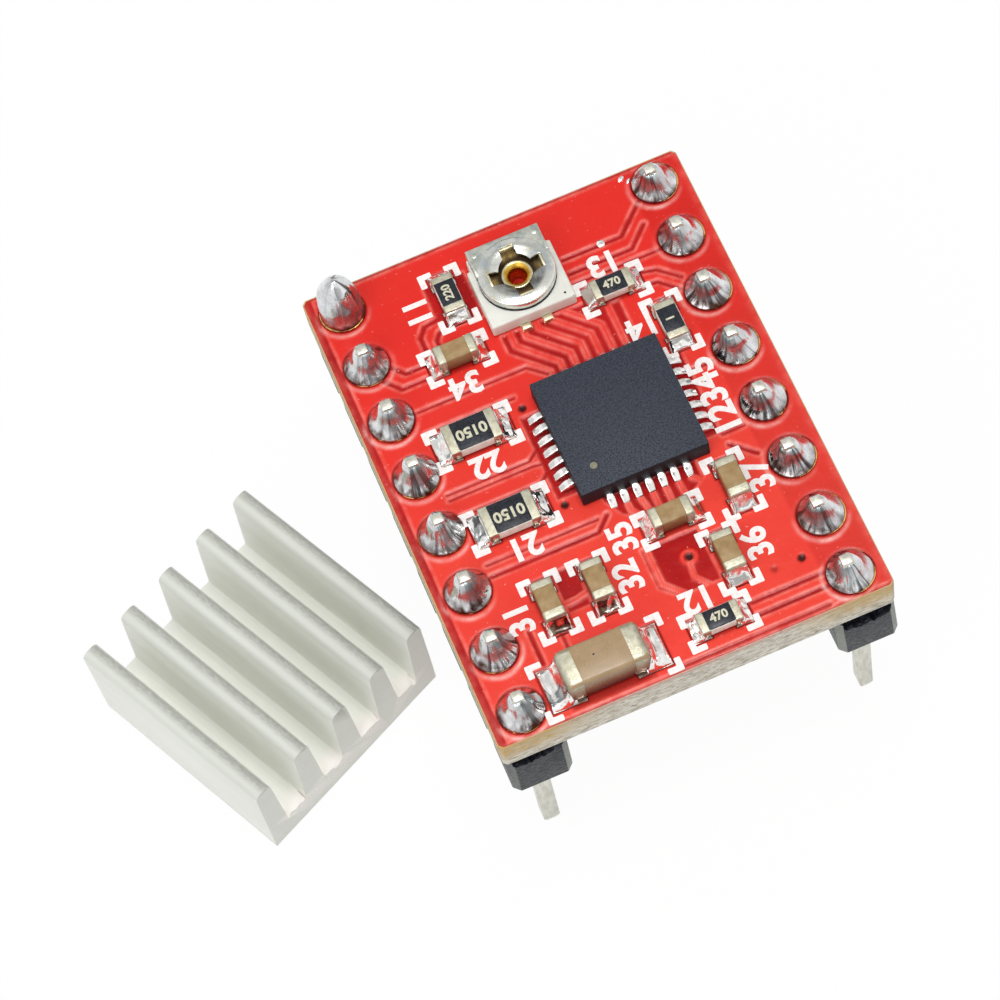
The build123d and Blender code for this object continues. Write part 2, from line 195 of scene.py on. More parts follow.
class Wiring:
    """The nodes of one finish, with each source made once."""

    def __init__(self, finish: Finish) -> None:
        """Makes the material."""
        self.finish = finish
        self.material = bpy.data.materials.new(finish.name)
        self.material.use_nodes = True
        self.tree = self.material.node_tree
        self.tree.nodes.clear()
        self.place = add_node(self.tree, "TexCoord").outputs["Object"]
        self.made: dict[str, Socket] = {}
        links = {"Base Color": self.tint(finish.coat), "Roughness": self.chain("ADD", map(self.product, finish.rough))}
        for depth, height in finish.relief:
            bumped = {"Height": self.product(height)} | ({"Normal": links["Normal"]} if "Normal" in links else {})
            links["Normal"] = add_node(self.tree, "Bump", {"Distance": depth * MM}, bumped).outputs["Normal"]
        settings = {"Metallic": finish.metallic, "Specular IOR Level": finish.specular}
        shader = add_node(self.tree, "BsdfPrincipled", settings, links)
        add_node(self.tree, "OutputMaterial", {}, {"Surface": shader.outputs["BSDF"]})

    def source(self, name: str) -> Socket:
        """Returns a source by its name, made on first use."""
        if name not in self.made:
            self.made[name] = self.grain(self.finish.grains[name]) if name in self.finish.grains else self.read(name)
        return self.made[name]

    def grain(self, grain: Grain) -> Socket:
        """Adds a noise pattern, which swings about one half."""
        unit, place = MM, self.place
        if grain.follows:
            unit, place = 1.0, add_node(self.tree, "Attribute", {"attribute_name": grain.follows}).outputs["Vector"]
        turned = {"vector_type": "TEXTURE", "Rotation": (0, 0, radians(grain.turn)), "Scale": grain.stretch}
        mapping = add_node(self.tree, "Mapping", turned, {"Vector": place})
        settings = {"Scale": 1 / (grain.size * unit), "Detail": grain.detail, "Roughness": grain.roughness}
        return add_node(self.tree, "TexNoise", settings, {"Vector": mapping.outputs["Vector"]}).outputs["Fac"]

    def read(self, name: str) -> Socket:
        """Reads a coordinate in metres, its square, the distance from the axis, or a painted value."""
        if name in ("X", "Y", "Z"):
            return add_node(self.tree, "SeparateXYZ", {}, {"Vector": self.place}).outputs[name]
        if name == "X squared":
            return self.chain("MULTIPLY", [self.source("X")] * 2)
        if name == "away":
            x, y = self.finish.axis
            flat = {"vector_type": "POINT", "Location": (-x * MM, -y * MM, 0), "Scale": (1, 1, 0)}
            mapping = add_node(self.tree, "Mapping", flat, {"Vector": self.place})
            return add_node(self.tree, "VectorMath", {"operation": "LENGTH"}, {0: mapping.outputs[0]}).outputs["Value"]
        return add_node(self.tree, "Attribute", {"attribute_name": name}).outputs["Fac"]

    def chain(self, operation: str, sockets: Iterable[Socket]) -> Socket:
        """Adds or multiplies several sockets."""
        whole, *others = sockets
        for other in others:
            whole = add_node(self.tree, "Math", {"operation": operation}, {0: whole, 1: other}).outputs[0]
        return whole

    def product(self, shares: Product) -> Socket:
        """Multiplies shares."""
        parts = []
        for share in shares:
            if isinstance(share, str):
                parts.append(self.source(share))
                continue
            ends = zip(("From Min", "From Max", "To Min", "To Max"), (*share.edges, share.low, share.high))
            mapped = add_node(self.tree, "MapRange", dict(ends), {"Value": self.source(share.source)})
            parts.append(mapped.outputs["Result"])
        return self.chain("MULTIPLY", parts)

    def tint(self, coat: Coat) -> Socket:
        """Lays each colour of a coat over those before it."""
        below: Socket | None = None
        for colour, where in coat.layers:
            mix = add_node(self.tree, "Mix", {"data_type": "RGBA"}, {0: self.product(where)})
            for index, layer in ((6, coat.ground if below is None else below), (7, colour)):
                if isinstance(layer, str):
                    mix.inputs[index].default_value = linear(layer)
                else:
                    self.tree.links.new(self.tint(layer) if isinstance(layer, Coat) else layer, mix.inputs[index])
            below = mix.outputs[2]
        return below


def plain(
    name: str, colour: str, mottle: str, roughness: float, metallic: float = 0.0, swing: float = 0.08,
    mottle_size: float = 0.4, relief_size: float = 0.05, relief_depth: float = 0.004,
    stretch: Triple = (1.0, 1.0, 1.0), edges: Pair = (0.35, 0.65), specular: float = 0.5, shaded: str = "",
) -> Finish:
    """Makes a finish of one mottled colour.

    Args:
        name: the material's name.
        colour: its colour.
        mottle: what its colour drifts to.
        roughness: its middle roughness.
        metallic: one for a metal.
        swing: how far the roughness varies either way.
        mottle_size: the size of the drift in millimetres.
        relief_size: the size of the fine grain in millimetres.
        relief_depth: the depth of the fine grain in millimetres.
        stretch: how many times longer both are along each axis.
        edges: where the drift starts and ends, a narrow range for crisp patches.
        specular: how strongly a non-metal reflects.
        shaded: the colour painted where the piece carries "shade", if any; it is painted shade on most pieces and a
            painted highlight on the insulators.

    Returns:
        The finish.
    """
    layers = ((mottle, (Share("broad", edges=edges),)),) + (((shaded, ("shade",)),) if shaded else ())
    return Finish(
        name, Coat(colour, layers), rough=((Share("fine", max(0.02, roughness - swing), roughness + swing),),),
        relief=((relief_depth, ("fine",)),), metallic=metallic, specular=specular,
        grains={"broad": Grain(mottle_size, 4.0, stretch), "fine": Grain(relief_size, 3.0, stretch)},
    )


def solder(
    name: str, colour: str, dull: str, roughness: float, flow: float, flow_depth: float, crease_depth: float,
    pitted: float,
) -> Finish:
    """Makes flowed tin-lead: patches of dull skin, creases along the piece's own flow lines, pits and flux.

    Args:
        name: the material's name.
        colour: its bright colour.
        dull: the colour of its skin.
        roughness: its middle roughness.
        flow: the size of its ripples in millimetres.
        flow_depth: their depth in millimetres.
        crease_depth: the depth of the pleats in millimetres.
        pitted: how dark its pits are, from zero to one.

    Returns:
        The finish.
    """
    skin = ("skin", Share("flow", 0.45, 1.0, (0.35, 0.6)))
    layers = (
        (dull, (Share("patch"),)),
        ("#484547", ("pleat", Share("crease", 0.0, 0.9, (0.53, 0.62)))),  # painted shade in the pleats that drew up
        ("#5B5552", (Share("pits", 0.0, pitted, (0.64, 0.72)),)),  # pits
        ("#7C8789", skin),  # a duller grey-blue skin on the inner flank, above the foot
        ("#4A2A20", ("foot", Share("patch", 0.35, 1.0))),  # burnt flux
    )
    grains = {
        "patch": Grain(flow * 1.2), "flow": Grain(flow, 1.5), "pits": Grain(0.075, 2.0),
        "crease": Grain(1 / 2.8, 1.8, follows="flow", roughness=0.5),
    }
    return Finish(
        name, Coat(colour, layers), metallic=1.0, grains=grains,
        rough=((Share("patch", roughness * 0.7, roughness * 1.7),), (*skin, Share("patch", 0.2, 0.3))),
        relief=((flow_depth, ("flow",)), (crease_depth, ("crease", "pleat"))),
    )


def stamped_nickel(name: str, colour: str, cool: str, stain: str, roughness: float) -> Finish:
    """Makes nickel-plated sheet: clouds of bluish tint, brownish stains, a faint rolling grain and painted shade."""
    layers = (
        (cool, (Share("cloud", 0.0, 0.75, (0.42, 0.62)),)),
        (stain, (Share("spots", 0.0, 0.7, (0.63, 0.74)),)),
        # painted shade, where the piece carries it
        ("#575653", ("painted_petal_shade", Share("roll", 0.7, 1.0))),
    )
    return Finish(
        name, Coat(colour, layers), metallic=1.0, rough=((Share("cloud", roughness, roughness + 0.12),),),
        relief=((0.012, ("cloud",)), (0.0008, ("roll",))),
        grains={"cloud": Grain(0.55), "spots": Grain(0.38, 2.0), "roll": Grain(0.05, 2.0, (1.0, 9.0, 1.0))},
    )


# Liquid photo-imaged solder mask: a glossy translucent red, lighter over copper, with a painted sheen paler towards the
# front.
MASK = Finish(
    "solder_mask_red_cured",
    Coat("#9E0307", (
        # painted sheen: over copper the red pales towards the front, along the object's Y
        (Coat("#E02E25", (("#EB4839", (Share("Y", 0.8, 0.0, (-3.0 * MM, 6.0 * MM)),)),)), ("copper",)),
        ("#DE150E", (Share("cloud", 0.0, 0.35),)),
        ("#FF9386", ("edge", Share("blotch", 0.15, 0.62))),  # the mask thins over copper's edges, and this also paints part of the ridges' highlight
        ("#F5BDB4", (Share("dust", 0.0, 0.5, (0.70, 0.78)),)),
        ("#F5BDB4", ("flux", Share("blotch", 0.3, 0.9))),
        # dark at the openings, painted shade in the via's dent, and painted shadow by the parts and in the eyelet's
        # well
        ("#6E0709", ("gap",)),
        # painted shade in the via holes
        ("#3A0504", ("hole",)),
    )),
    rough=((Share("cloud", 0.22, 0.38),),), relief=((0.035, ("flow",)), (0.002, ("grit",))), specular=0.2,
    grains={
        "cloud": Grain(2.6, 4.0), "blotch": Grain(0.5), "dust": Grain(0.16, 2.0), "flow": Grain(0.9),
        "grit": Grain(0.09),
    },
)
# Sawn glass-fibre laminate: pale torn yarns in grey resin, ragged and matt, tan by the corners and pink under the mask.
LAMINATE = Finish(
    "glass_fibre_laminate_sawn",
    Coat("#ADA592", (
        ("#E4DFD2", (Share("yarns", edges=(0.40, 0.58)),)),
        ("#E4DFD2", (Share("tufts", 0.0, 0.6, (0.46, 0.66)),)),
        ("#6B5E4C", (Share("flecks", 0.0, 0.75, (0.60, 0.72)),)),
        ("#C98D7E", (Share("Z", edges=(9.75 * MM, 10.0 * MM)), Share("yarns", 0.25, 0.85))),
        ("#C6A566", (
            Share("Z", edges=(8.8 * MM, 9.5 * MM)), Share("X squared", edges=((3.4 * MM) ** 2, (5.8 * MM) ** 2)),
            Share("tufts", 0.45, 1.0),
        )),
    )),
    rough=((Share("yarns", 0.6, 0.85),),), relief=((0.03, ("yarns",)), (0.05, ("tufts",))), specular=0.3,
    grains={
        "yarns": Grain(0.07, 5.0, (4.5, 4.5, 1.0)), "tufts": Grain(0.16, 4.0, (2.2, 2.2, 1.0)),
        "flecks": Grain(0.09, 3.0, (2.6, 2.6, 1.0), 17.0),
    },
)
# Hand-soldered joints: bright, creased where the solder drew up the pin, with burnt flux at the foot.
HAND_SOLDER = solder("tin_lead_solder_hand_flowed", "#E9EAEB", "#CDCFD1", 0.17, 0.45, 0.02, 0.06, 0.8)
# Paste solder, reflowed: brighter and smoother, on small lands.
PASTE_SOLDER = solder("tin_lead_solder_reflowed", "#FAF9F7", "#E8E6E2", 0.12, 0.3, 0.012, 0.0, 0.35)
# Electroplated matt tin over copper: soft grey sheen.
TINNED = plain("tinned_copper_plated", "#D2CFC8", "#B0AAA1", 0.32, 1.0, mottle_size=0.25, relief_depth=0.001)
# Immersion gold over nickel, stained by flux: a warm thin rim round the joints that goes brown in places.
GOLD = plain(
    "gold_plated_copper_flux_stained", "#D9B56A", "#5C2A1C", 0.34, 1.0, mottle_size=0.7, relief_depth=0.002,
    edges=(0.46, 0.56),
)
# Glass-filled moulded nylon: black, slightly rough with a slate sheen, and a painted highlight on the front chamfers.
HEADER_BLACK = plain(
    "moulded_nylon_black", "#0C0F15", "#20252F", 0.42, 0.0, mottle_size=0.16, relief_size=0.14, relief_depth=0.06,
    specular=0.32, shaded="#8C9189",
)
# Drawn brass wire, tin plated: satin, smooth along the pin.
PIN_TIN = plain("drawn_pin_tin_plated", "#DCDBD0", "#C4C2B4", 0.38, 1.0, 0.08, 0.2, 0.12, 0.003, (1.0, 1.0, 4.0))
# Moulded epoxy full of fine filler: slate and evenly speckled on top, near black on the sawn sides, partly their own
# tone and partly painted shade.
EPOXY = Finish(
    "moulded_epoxy_filled",
    Coat("#3A3F4B", (("#20242D", (Share("filler", edges=(0.40, 0.62)),)), ("#14151C", ("sawn",)))),
    rough=((Share("filler", 0.5, 0.68),),), relief=((0.008, ("filler",)),), specular=0.3,
    grains={"filler": Grain(0.06, 4.0)},
)
# White epoxy ink, screen printed: flat, with a little of the red through it.
INK = plain("white_epoxy_ink_printed", "#F7F6F5", "#F0E2DE", 0.55, 0.0, 0.1, 0.12, 0.06)
# Fired resistor glaze: black glass with a slight orange peel.
GLAZE = plain("fired_glaze_black", "#15181E", "#242832", 0.3, 0.0, 0.08, 0.3, 0.12, 0.003, specular=0.35)
# Cream epoxy ink, printed on the glaze: pale yellow and matt.
CODE_INK = plain("cream_ink_printed", "#DDD9BE", "#BDB99F", 0.5, 0.0, 0.1, 0.1, 0.05, 0.002)
# Fired alumina: off-white, matt ceramic.
ALUMINA = plain("fired_alumina", "#EEEAE0", "#DAD5C8", 0.62, 0.0, 0.1, 0.25, 0.08)
# Plated tin over fired silver: pale satin metal, a little yellow, with painted shade low down.
END_TIN = plain(
    "tin_plated_end", "#C3C0AD", "#B0AC97", 0.48, 1.0, 0.08, 0.2, 0.06, 0.009, edges=(0.4, 0.62), shaded="#8C7F66"
)
# Fired barium titanate ceramic: khaki brown, matt with fine grain, with painted shade and a painted red reflection low
# down.
CERAMIC = plain(
    "capacitor_ceramic_fired", "#A68A60", "#927446", 0.5, 0.0, 0.1, 0.35, 0.05, 0.003, shaded="#6E3A22"
)
# Fired barium titanate in the large block: a paler, greyer and glossier brown, painted maroon low down as shade and
# reflection.
CERAMIC_LIGHT = plain(
    "capacitor_ceramic_fired_pale", "#AB906E", "#9E8460", 0.32, 0.0, 0.08, 0.6, 0.05, 0.002, shaded="#4E1B16"
)
# White glass-filled polyester, moulded: bright, slightly waxy.
TRIMMER_WHITE = plain("moulded_polyester_white", "#E4E4DC", "#DAD9CF", 0.42, 0.0, 0.08, 0.8, 0.1, 0.003)
# Stamped nickel-plated sheet: soft silver that is bluish in some places and stained in others, with painted shade on
# the front petals.
NICKEL = stamped_nickel("stamped_nickel_plated", "#DEDFD6", "#AEB6BC", "#C7B079", 0.18)
# Nickel-plated terminal plate: satin, with the same tints as the rotor.
NICKEL_DULL = stamped_nickel("nickel_plate_satin", "#D6D8CC", "#8F9794", "#B7AD84", 0.32)
# Rolled brass eyelet: tin plated on its outer lip and worn to yellow inside the funnel.
BRASS = Finish(
    "rolled_brass_eyelet",
    Coat("#D9B350", (
        ("#B98C34", (Share("grain"),)),
        (Coat("#DFDCC6", (("#BDB48C", (Share("grain"),)),)), (Share("away", edges=(0.48 * MM, 0.53 * MM)),)),
    )),
    rough=((Share("grain", 0.22, 0.34),),), relief=((0.004, ("grain",)),), metallic=1.0, axis=(0.09, 7.03),
    grains={"grain": Grain(0.2)},
)
# Screened carbon track: dead black.
CARBON = plain("screened_carbon", "#1B1B1D", "#2A2A2C", 0.6)
# Laser-burnt dot: a greyish yellow in the epoxy.
LASER = plain("epoxy_laser_burnt", "#8F8B72", "#77745F", 0.7, 0.0, 0.1, 0.1, 0.05, 0.003)
# Spring nickel silver below the cross: brown and dull, with painted shade towards the middle.
SPRING = plain("nickel_silver_spring", "#9C8555", "#63533A", 0.45, 1.0, 0.08, 0.25, 0.1, 0.003, shaded="#3E3022")
# Pale gold flash on the trimmer's front strips.
PALE_GOLD = plain("gold_flashed_strip", "#EFE8CA", "#D8CDA6", 0.36, 1.0, 0.06, 0.2, 0.1, 0.002)
# Extruded aluminium, etched: matt silver with faint die lines along the fins, which stand 26 degrees off the
# board's Y, rubbed fin tips, and torn, brighter metal at the saw cut.
ALUMINIUM = Finish(
    "extruded_aluminium_etched",
    Coat("#F4F5EE", (
        ("#EFF0E8", (Share("broad"),)),
        ("#E2E4DF", (Share("lines", 0.0, 0.3),)),
        ("#A09F99", ("tip", Share("grit", 0.5, 0.95, (0.3, 0.6)))),
        # painted shade on the fin tops, the sawn end and the outer sides
        ("#AEB2A9", ("shade",)),
        ("#F7F1EC", ("sawn", Share("grit", 0.2, 1.0, (0.35, 0.6)))),
    )),
    rough=((Share("grit", 0.50, 0.66),),), relief=((0.002, ("lines",)), (0.006, ("grit",))), metallic=0.05,
    grains={
        "lines": Grain(0.09, 3.0, (1.0, 60.0, 1.0), 26.0), "broad": Grain(0.9, 4.0, (1.0, 5.0, 1.0), 26.0),
        "grit": Grain(0.07, 3.0, (1.0, 3.0, 1.0), 26.0),
    },
)


# ---------------------------------------------------------------- shapes


def clamped(value: float) -> float:
    """Holds a value between zero and one."""
    return max(0.0, min(1.0, value))


def at(x: float, y: float, z: float = 0.0, turn: float = 0.0) -> Matrix:
    """A place on the board and a turn about Z in degrees."""
    return Matrix.Translation((x, y, z)) @ Matrix.Rotation(radians(turn), 4, "Z")


def placed(shape: Shape, place: Matrix) -> Shape:
    """Moves a shape."""
    bmesh.ops.transform(shape, matrix=place, verts=shape.verts)
    return shape


def linked(name: str, data: bpy.types.ID) -> bpy.types.Object:
    """Puts a new object in the scene."""
    made = bpy.data.objects.new(name, data)
    bpy.context.scene.collection.objects.link(made)
    return made


def to_mesh(shape: Shape, name: str) -> bpy.types.Mesh:
    """Turns a shape into a mesh and frees it."""
    mesh = bpy.data.meshes.new(name)
    shape.to_mesh(mesh)
    shape.free()
    return mesh


def taken(carrier: bpy.types.Object) -> Shape:
    """Turns a helper object, with its modifiers, into a shape and removes it."""
    mesh = bpy.data.meshes.new_from_object(carrier.evaluated_get(bpy.context.evaluated_depsgraph_get()))
    shape = bmesh.new()
    shape.from_mesh(mesh)
    bpy.data.objects.remove(carrier)
    bpy.data.meshes.remove(mesh)
    return shape


def joined(shapes: Iterable[Shape]) -> Shape:
    """Puts several shapes in one and frees them."""
    whole = bmesh.new()
    for shape in shapes:
        mesh = to_mesh(shape, "part")
        whole.from_mesh(mesh)
        bpy.data.meshes.remove(mesh)
    return whole


def rounded(shape: Shape, edges: Iterable[bmesh.types.BMEdge], size: float, segments: int = 2) -> Shape:
    """Rounds edges of a shape."""
    bmesh.ops.bevel(
        shape, geom=list(edges), offset=size, segments=segments, profile=0.5, affect="EDGES", material=-1,
        clamp_overlap=True,
    )
    return shape


def block(low: Triple, high: Triple, bevel: float = 0.0, segments: int = 2) -> Shape:
    """Makes a box between two corners with rounded edges.

    Args:
        low: the lowest corner.
        high: the highest corner.
        bevel: the rounding's size, none at zero.
        segments: how many facets round an edge.

    Returns:
        The closed shape.
    """
    shape = bmesh.new()
    bmesh.ops.create_cube(shape, size=1.0)
    size = Vector(high) - Vector(low)
    middle = (Vector(high) + Vector(low)) / 2
    placed(shape, Matrix.Translation(middle) @ Matrix.Diagonal((*size, 1.0)))
    if bevel:
        rounded(shape, shape.edges, bevel, segments)
    return shape


def sliced(shape: Shape, point: Triple, normal: Triple) -> None:
    """Adds a row of edges where a plane crosses a shape."""
    whole = shape.verts[:] + shape.edges[:] + shape.faces[:]
    bmesh.ops.bisect_plane(shape, geom=whole, plane_co=point, plane_no=normal)


def standing(shape: Shape, tall: float) -> list[bmesh.types.BMEdge]:
    """Returns the edges that climb further than a height."""
    return [edge for edge in shape.edges if abs(edge.verts[0].co.z - edge.verts[1].co.z) > tall]


def grown(shape: Shape) -> list[bmesh.types.BMVert]:
    """Extrudes a sheet's open border and returns the new points, still in place."""
    border = [edge for edge in shape.edges if edge.is_boundary]
    made = bmesh.ops.extrude_edge_only(shape, edges=border)["geom"]
    return [item for item in made if isinstance(item, bmesh.types.BMVert)]


def closed_below(shape: Shape) -> Shape:
    """Closes a sheet's open border with one face."""
    bmesh.ops.contextual_create(shape, geom=[edge for edge in shape.edges if edge.is_boundary])
    bmesh.ops.recalc_face_normals(shape, faces=shape.faces)
    return shape


def spun(outline: Sequence[Pair], steps: int, closed: bool = False) -> Shape:
    """Turns a (radius, z) outline once round the Z axis.

    Args:
        outline: points from one end to the other; ends on the axis close there.
        steps: how many steps make the full turn.
        closed: whether the last point joins the first, as in a ring.

    Returns:
        The shape, with faces outwards.
    """
    shape = bmesh.new()
    points = [shape.verts.new((radius, 0.0, z)) for radius, z in outline]
    pairs = list(zip(points, points[1:])) + ([(points[-1], points[0])] if closed else [])
    edges = [shape.edges.new(pair) for pair in pairs]
    bmesh.ops.spin(
        shape, geom=points + edges, cent=(0, 0, 0), axis=(0, 0, 1), angle=2 * pi, steps=steps, use_merge=True,
        use_duplicate=False,
    )
    bmesh.ops.remove_doubles(shape, verts=shape.verts, dist=1e-5)
    bmesh.ops.recalc_face_normals(shape, faces=shape.faces)
    return shape


def slab(outline: Sequence[Pair], z_low: float, z_high: float) -> Shape:
    """Makes an upright prism from a closed plan outline."""
    shape = bmesh.new()
    face = shape.faces.new([shape.verts.new((x, y, z_low)) for x, y in outline])
    made = bmesh.ops.extrude_face_region(shape, geom=[face])["geom"]
    top = [item for item in made if isinstance(item, bmesh.types.BMVert)]
    bmesh.ops.translate(shape, vec=(0, 0, z_high - z_low), verts=top)
    bmesh.ops.recalc_face_normals(shape, faces=shape.faces)
    return shape


def cut(shape: Shape, tool: Shape, way: str = "DIFFERENCE") -> Shape:
    """Cuts one shape out of another, or joins the two."""
    carrier, other = (linked("cut", to_mesh(source, "cut")) for source in (shape, tool))
    change = carrier.modifiers.new("cut", "BOOLEAN")
    change.object, change.operation, change.solver = other, way, "EXACT"
    whole = taken(carrier)
    bpy.data.objects.remove(other)
    bmesh.ops.dissolve_degenerate(whole, dist=1e-4, edges=whole.edges)
    return whole


def publish(
    shape: Shape, name: str, finish: Finish, body: Body = Body.BOARD, replaces: Sequence[str] = (),
    sharp: float = 35.0,
) -> bpy.types.Object:
    """Makes a finished piece of a shape: metres, smooth shading, finish, body and the nodes it stands for.

    Args:
        shape: the shape in millimetres, which is freed.
        name: the piece's name.
        finish: its surface.
        body: the body that it rides.
        replaces: CAD nodes that it stands for.
        sharp: edges that turn more than this many degrees stay crisp.

    Returns:
        The object.
    """
    placed(shape, Matrix.Scale(MM, 4))
    for face in shape.faces:
        face.smooth = True
    for edge in shape.edges:
        edge.smooth = len(edge.link_faces) == 2 and edge.calc_face_angle(0.0) < radians(sharp)
    mesh = to_mesh(shape, name)
    mesh.materials.append(finish.material())
    piece = linked(name, mesh)
    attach(piece, body.value)
    if replaces:
        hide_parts(*replaces)
    log.info("%s: %d faces", name, len(mesh.polygons))
    return piece


def dress(node: str, finish: Finish) -> None:
    """Gives a CAD node that keeps its own shape its finish."""
    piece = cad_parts[node]
    if not piece.material_slots:
        piece.data.materials.append(finish.material())
    for place in piece.material_slots:
        place.material = finish.material()
    log.info("%s keeps its shape: %s", node, finish.name)


# ---------------------------------------------------------------- placement list


@dataclass(frozen=True)
class Spot:
    """A two-ended part's place: its node name, centre, turn, and the number printed beside it."""

    node: str
    x: float
    y: float
    turn: float
    number: str
    number_x: float
    number_y: float
    number_turn: float


@dataclass(frozen=True)
class Kind:
    """One size of two-ended part: its ends' bands, how far its solder reaches, and the printed frame's size."""

    length: float
    width: float
    height: float
    band: float
    reach: float
    frame_long: float
    frame_wide: float


SMALL_RESISTOR = Kind(1.6, 0.82, 0.46, 0.32, 0.36, 2.74, 1.6)
SENSE_RESISTOR = Kind(2.05, 1.25, 0.52, 0.38, 0.5, 3.45, 1.88)
SMALL_CAPACITOR = Kind(1.6, 0.82, 0.78, 0.32, 0.36, 2.74, 1.6)
LARGE_CAPACITOR = Kind(3.2, 1.62, 1.25, 0.62, 0.7, 5.2, 2.45)

RESISTORS: tuple[tuple[Spot, Kind, str], ...] = (
    (Spot("resistor_1", -2.50, 7.65, 90, "11", -3.75, 7.62, 90), SMALL_RESISTOR, "220"),
    (Spot("resistor_2", 1.38, -8.70, 0, "12", 1.0, -7.55, 180), SMALL_RESISTOR, "470"),
    (Spot("resistor_3", 3.17, 5.36, 0, "13", 3.25, 6.55, 180), SMALL_RESISTOR, "470"),
    (Spot("resistor_4", 4.56, 3.05, 90, "14", 3.55, 3.45, 180), SMALL_RESISTOR, "1"),
    (Spot("sense_resistor_1", -3.86, -1.79, 0, "21", -3.8, -3.0, 180), SENSE_RESISTOR, "0150"),
    (Spot("sense_resistor_2", -3.86, 1.88, 0, "22", -3.8, 0.65, 180), SENSE_RESISTOR, "0150"),
)
CAPACITORS: tuple[tuple[Spot, Kind], ...] = (
    (Spot("capacitor_1", -3.90, -5.62, 90, "31", -5.05, -5.6, 90), SMALL_CAPACITOR),
    (Spot("capacitor_2", -2.00, -5.62, 90, "32", -0.85, -5.7, 90), SMALL_CAPACITOR),
    (Spot("capacitor_3", -3.05, -8.64, 0, "", 0, 0, 0), LARGE_CAPACITOR),
    (Spot("capacitor_4", -3.17, 5.16, 0, "34", -3.3, 4.05, 180), SMALL_CAPACITOR),
    (Spot("capacitor_5", 1.42, -4.32, 0, "35", -0.45, -4.2, 90), SMALL_CAPACITOR),
    (Spot("capacitor_6", 2.68, -6.55, 90, "36", 3.85, -6.45, 90), SMALL_CAPACITOR),
    (Spot("capacitor_7", 3.98, -3.95, 90, "37", 5.0, -4.0, 90), SMALL_CAPACITOR),
)


PARTS: tuple[tuple[Spot, Kind], ...] = tuple(entry[:2] for entry in RESISTORS) + CAPACITORS
# The headers: eight ways a row, and the rows' distance from the board's middle.
PITCH, WAYS, ROW_X = 2.54, 8, 6.35
HEADER_POINTS: tuple[Pair, ...] = tuple(
    (side * ROW_X, (way - (WAYS - 1) / 2) * PITCH) for side in (-1, 1) for way in range(WAYS)
)
TRIMMER_AT: Pair = (0.09, 7.03)
CHIP_AT: Pair = (1.24, 0.05)
CHIP_SIDE = 5.0
# The chip and the chip parts stand this high, and a chip part's land is this much wider than it, either way.
STAND, LAND_MARGIN = 0.04, 0.06
RESISTOR_SEED, CAPACITOR_SEED = 100, 200


# ---------------------------------------------------------------- studio


@dataclass(frozen=True)
class DarkPatch:
    """A darker part of the room: the way to it, its core and rim in degrees, and its tone."""

    way: Triple
    core: float
    rim: float
    tone: float


@dataclass(frozen=True)
class Lamp:
    """A square soft lamp: its place and side in millimetres and its power in watts."""

    name: str
    place: Triple
    side: float
    power: float


